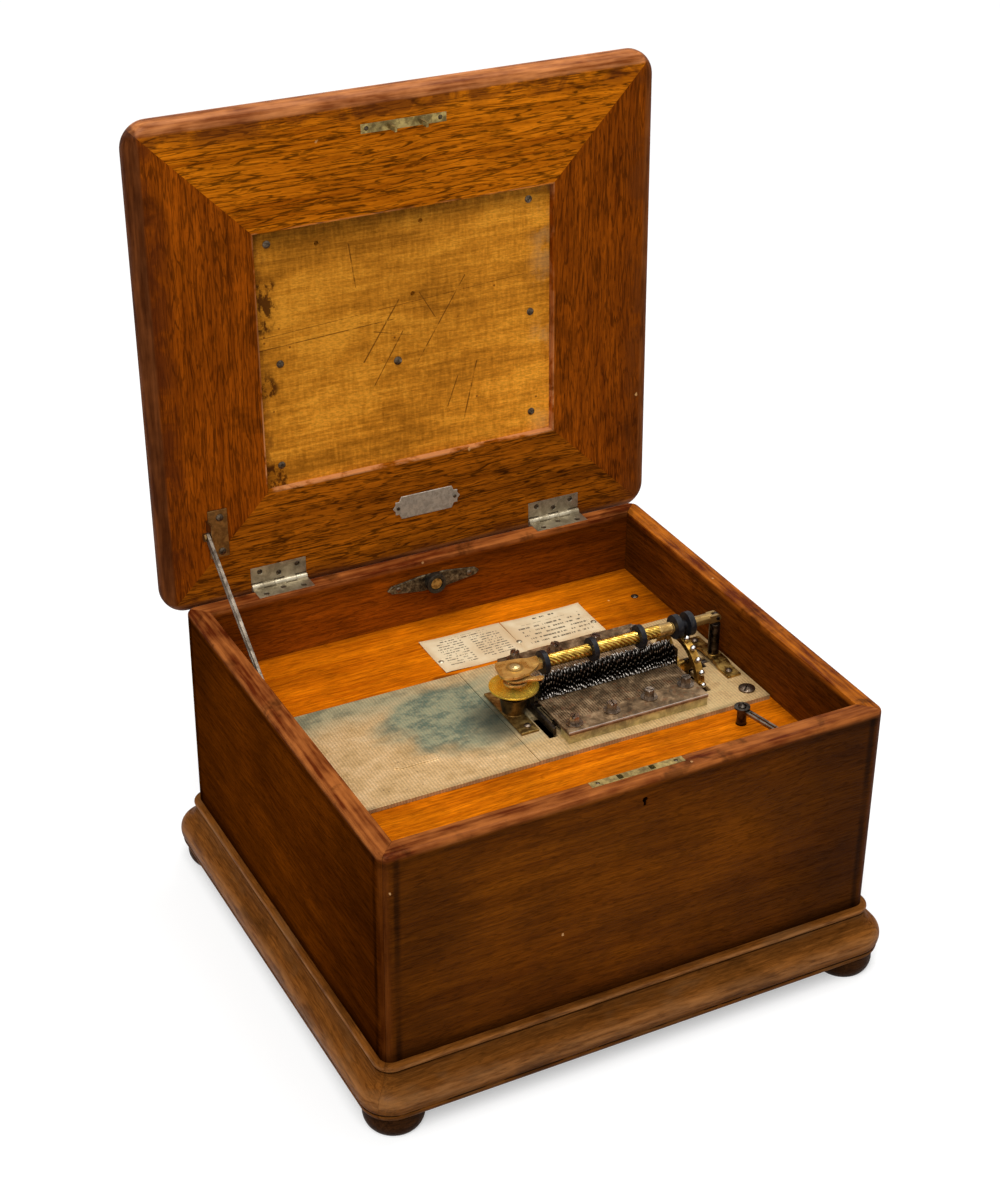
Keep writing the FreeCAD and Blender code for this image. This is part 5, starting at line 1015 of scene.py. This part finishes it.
# Each piece of the construction, with its finish and how far its edges are eased, in millimetres
COPIES = (
    ("wall_front", front_oak, "case_oak", 0.9),
    ("wall_back", back_oak, "case_oak", 0.9),
    ("wall_left", left_oak, "case_oak", 0.9),
    ("wall_right", right_oak, "case_oak", 0.9),
    ("bottom_board", raw_oak, "raw_wood", 0.5),
    ("plinth_front", moulding_front, "case_oak", 0.4),
    ("plinth_back", moulding_front, "case_oak", 0.4),
    ("plinth_left", moulding_side, "case_oak", 0.4),
    ("plinth_right", moulding_side, "case_oak", 0.4),
    ("bun_feet", foot_wood, "foot_wood", 0.0),
    ("deck_board", deck_oak, "deck_oak", 0.4),
    ("deck_cleats", raw_oak, "raw_wood", 0.5),
    ("bedplate", plate_right, "gold_iron", 0.5),
    ("motor_cover_plate", plate_left, "gold_iron", 0.35),
    ("lock_body", lock_brass, "brass", 0.2),
    ("back_wall_plate", fitting_finish, "dark_steel", 0.5),
    ("card_tacks", nickel, "steel", 0.0),
    ("stay_stud", dark_steel, "dark_steel", 0.3),
    ("hinge_case_leaves", nickel, "nickel", 0.2),
    ("case_screws", screw_steel, "steel", 0.15),
    ("comb_blocks", block_brass, "brass", 0.5),
    ("combs", comb_steel, "comb_steel", 0.0),
    ("comb_bolts", bolt_steel, "steel", 0.25),
    ("star_carrier", dark_steel, "dark_steel", 0.3),
    ("dampers", dark_steel, "dark_steel", 0.0),
    ("spindle_post", cup_bronze, "bronze", 0.5),
    ("arbor_bearings", dark_steel, "dark_steel", 0.4),
    ("bar_post", post_metal, "bronze", 0.4),
    ("motor_frame", dark_steel, "dark_steel", 0.5),
    ("lid_rail_back", low_rail_oak, "lid_oak", 0.35),
    ("lid_rail_front", top_rail_oak, "lid_oak", 0.35),
    ("lid_stile_left", left_stile_oak, "lid_oak", 0.35),
    ("lid_stile_right", right_stile_oak, "lid_oak", 0.35),
    ("lid_inner_panel", panel_wood, "panel_wood", 0.3),
    ("lid_top_board", outer_oak, "lid_oak", 0.4),
    ("lid_screws", dark_screw, "steel", 0.12),
    ("strike_plate", lock_brass, "brass", 0.3),
    ("plaque", silvered, "nickel", 0.35),
    ("hinge_lid_leaves", nickel, "nickel", 0.2),
    ("stay_bracket", bronze, "bronze", 0.3),
    ("stay_bar", stay_metal, "nickel", 0.3),
    ("roller_left", rubber, "rubber", 0.5),
    ("roller_middle", rubber, "rubber", 0.5),
    ("roller_right", rubber, "rubber", 0.5),
    ("edge_roller", rubber, "rubber", 0.9),
    ("latch_hook", hook_brass, "brass", 0.35),
    ("disc_rest", dish_brass, "brass", 0.2),
    ("drive_arbor", dark_steel, "dark_steel", 0.2),
    ("spring_barrel", old_brass, "brass", 0.3),
    ("mainspring", dark_steel, "dark_steel", 0.0),
    ("winding_arbor", dark_steel, "dark_steel", 0.3),
    ("click", dark_steel, "dark_steel", 0.3),
    ("governor_wheel", old_brass, "brass", 0.0),
    ("governor_fan", old_brass, "brass", 0.0),
    ("stop_lever", lever_metal, "dark_steel", 0.3),
    ("lock_bolt", dark_steel, "dark_steel", 0.2),
)
for node, finish, slot_name, ease in COPIES:
    piece = copy_of(node, node + "_made", ease * MM)
    placed(piece, finish, BODY_OF[node], slot_name, node)


# Pressure bar: the plain rod gives way to twisted strands and a smooth sleeve
def rod_face(c):
    reach = math.hypot(c.y - ROW_Y, c.z - BAR_Z - LIFT)
    return ROLLERS[0] + 0.002 < c.x < SLEEVE_END + 0.0004 and 0.0048 < reach < 0.0058


bar = copy_of("pressure_bar", "pressure_bar_made", 0.25 * MM, rod_face)
placed(bar, latch_brass, "pressure_bar", "brass", "pressure_bar")
span_ends = [roller - ROLLER_GAP for roller in ROLLERS[1:]] + [0.129]
for index, (roller, end) in enumerate(zip(ROLLERS, span_ends)):
    strands = rope("bar_strands_%d" % (index + 1), roller + ROLLER_GAP, end, rope_brass)
    placed(strands, rope_brass, "pressure_bar", "brass")
sleeve_outline = ((0.1284, 0.002), (0.1284, 0.0052), (0.129, 0.0057), (0.1302, 0.0058), (0.131, 0.0055),
                  (0.1405, 0.0055), (SLEEVE_END, 0.005), (SLEEVE_END, 0.002))
sleeve = turned_x("bar_sleeve", sleeve_outline, ROW_Y, BAR_Z + LIFT)
placed(sleeve, sleeve_brass, "pressure_bar", "brass")


# Drive wheel: the rim and spokes, with its pins as bright balls
def pin_face(c):
    return math.hypot(c.y - ROW_Y, c.z - WHEEL_Z - LIFT) > WHEEL_RIM


wheel = copy_of("drive_wheel", "drive_wheel_made", 0.2 * MM, pin_face)
placed(wheel, old_brass, BODY_OF["drive_wheel"], "brass", "drive_wheel")
placed(drive_pins("drive_wheel_pins", chrome), chrome, BODY_OF["drive_wheel"], "steel")
placed(star_row("star_wheels_made", star_steel), star_steel, BODY_OF["star_wheels"], "dark_steel",
       "star_wheels")

list_card = card("list_card", LIST_CARD, ((0.0, 1.0, 0.0009), (1.0, 0.0, 0.0006), (0.06, 0.0, 0.001)))
placed(list_card, list_paper, "case", "paper", "cards")
note_card = card("note_card", NOTE_CARD, ((0.0, 1.0, 0.0006), (1.0, 1.0, 0.0009)))
placed(note_card, note_paper, "case", "paper", "cards")


# Floor, lamps and camera
def floor_finish():
    p = Paint("pale floor")
    tone = p.mix((0.6, 0.6, 0.595), (0.62, 0.62, 0.615), p.mottle(p.place(), 3))
    p.feed(p.surface.inputs["Emission Color"], p.mix((0.0, 0.0, 0.0), (0.42, 0.42, 0.42), p.seen()))
    p.surface.inputs["Emission Strength"].default_value = 1.0
    return p.done(tone, 0.9, gloss=0.0)


bm = bmesh.new()
bmesh.ops.create_grid(bm, x_segments=1, y_segments=1, size=16.0)
floor = linked_mesh("floor", bm)
floor.data.materials.append(floor_finish())


def lamp(name, kind, place, target, strength, size):
    data = bpy.data.lights.new(name, kind)
    data.energy = strength
    if kind == "AREA":
        data.shape = "RECTANGLE"
        data.size = size[0]
        data.size_y = size[1]
    else:
        data.angle = size
    made = linked(name, data)
    made.location = place
    made.rotation_euler = (Vector(target) - Vector(place)).to_track_quat("-Z", "Y").to_euler()


lamp("main lamp", "SUN", (-0.55, -0.75, 1.75), (0.0, 0.0, 0.0), 2.15, math.radians(38))
lamp("front softbox", "AREA", (-1.3, -1.6, 1.5), (0.0, 0.0, 0.25), 9.0, (0.9, 0.9))
lamp("top softbox", "AREA", (0.5, 0.2, 2.0), (0.0, 0.0, 0.2), 14.0, (1.2, 0.7))

sky = Paint("studio", "worlds", "Background")
bpy.context.scene.world = sky.owner
level = sky.node("ShaderNodeMapRange", None, {0: sky.seen(), 3: 0.33, 4: 1.0})
sky.feed(sky.surface.inputs["Strength"], level)
sky.surface.inputs["Color"].default_value = (1.0, 1.0, 1.0, 1.0)

eye = Vector((-0.734416, -1.357981, 1.207888))
right = Vector((0.888094, -0.459559, 0.009729))
down = Vector((-0.224035, -0.451233, -0.863827))
ahead = Vector((0.40137, 0.76498, -0.503695))
view = bpy.data.cameras.new("camera")
view.sensor_fit = "VERTICAL"
view.sensor_height = 36.0
view.lens = 68.21
view.clip_end = 60.0
camera = linked("camera", view)
turn = Matrix((right, -down, -ahead)).transposed().to_4x4()
camera.matrix_world = Matrix.Translation(eye) @ turn
bpy.context.scene.camera = camera
bpy.context.scene.view_settings.view_transform = "Standard"

bpy.context.view_layer.update()
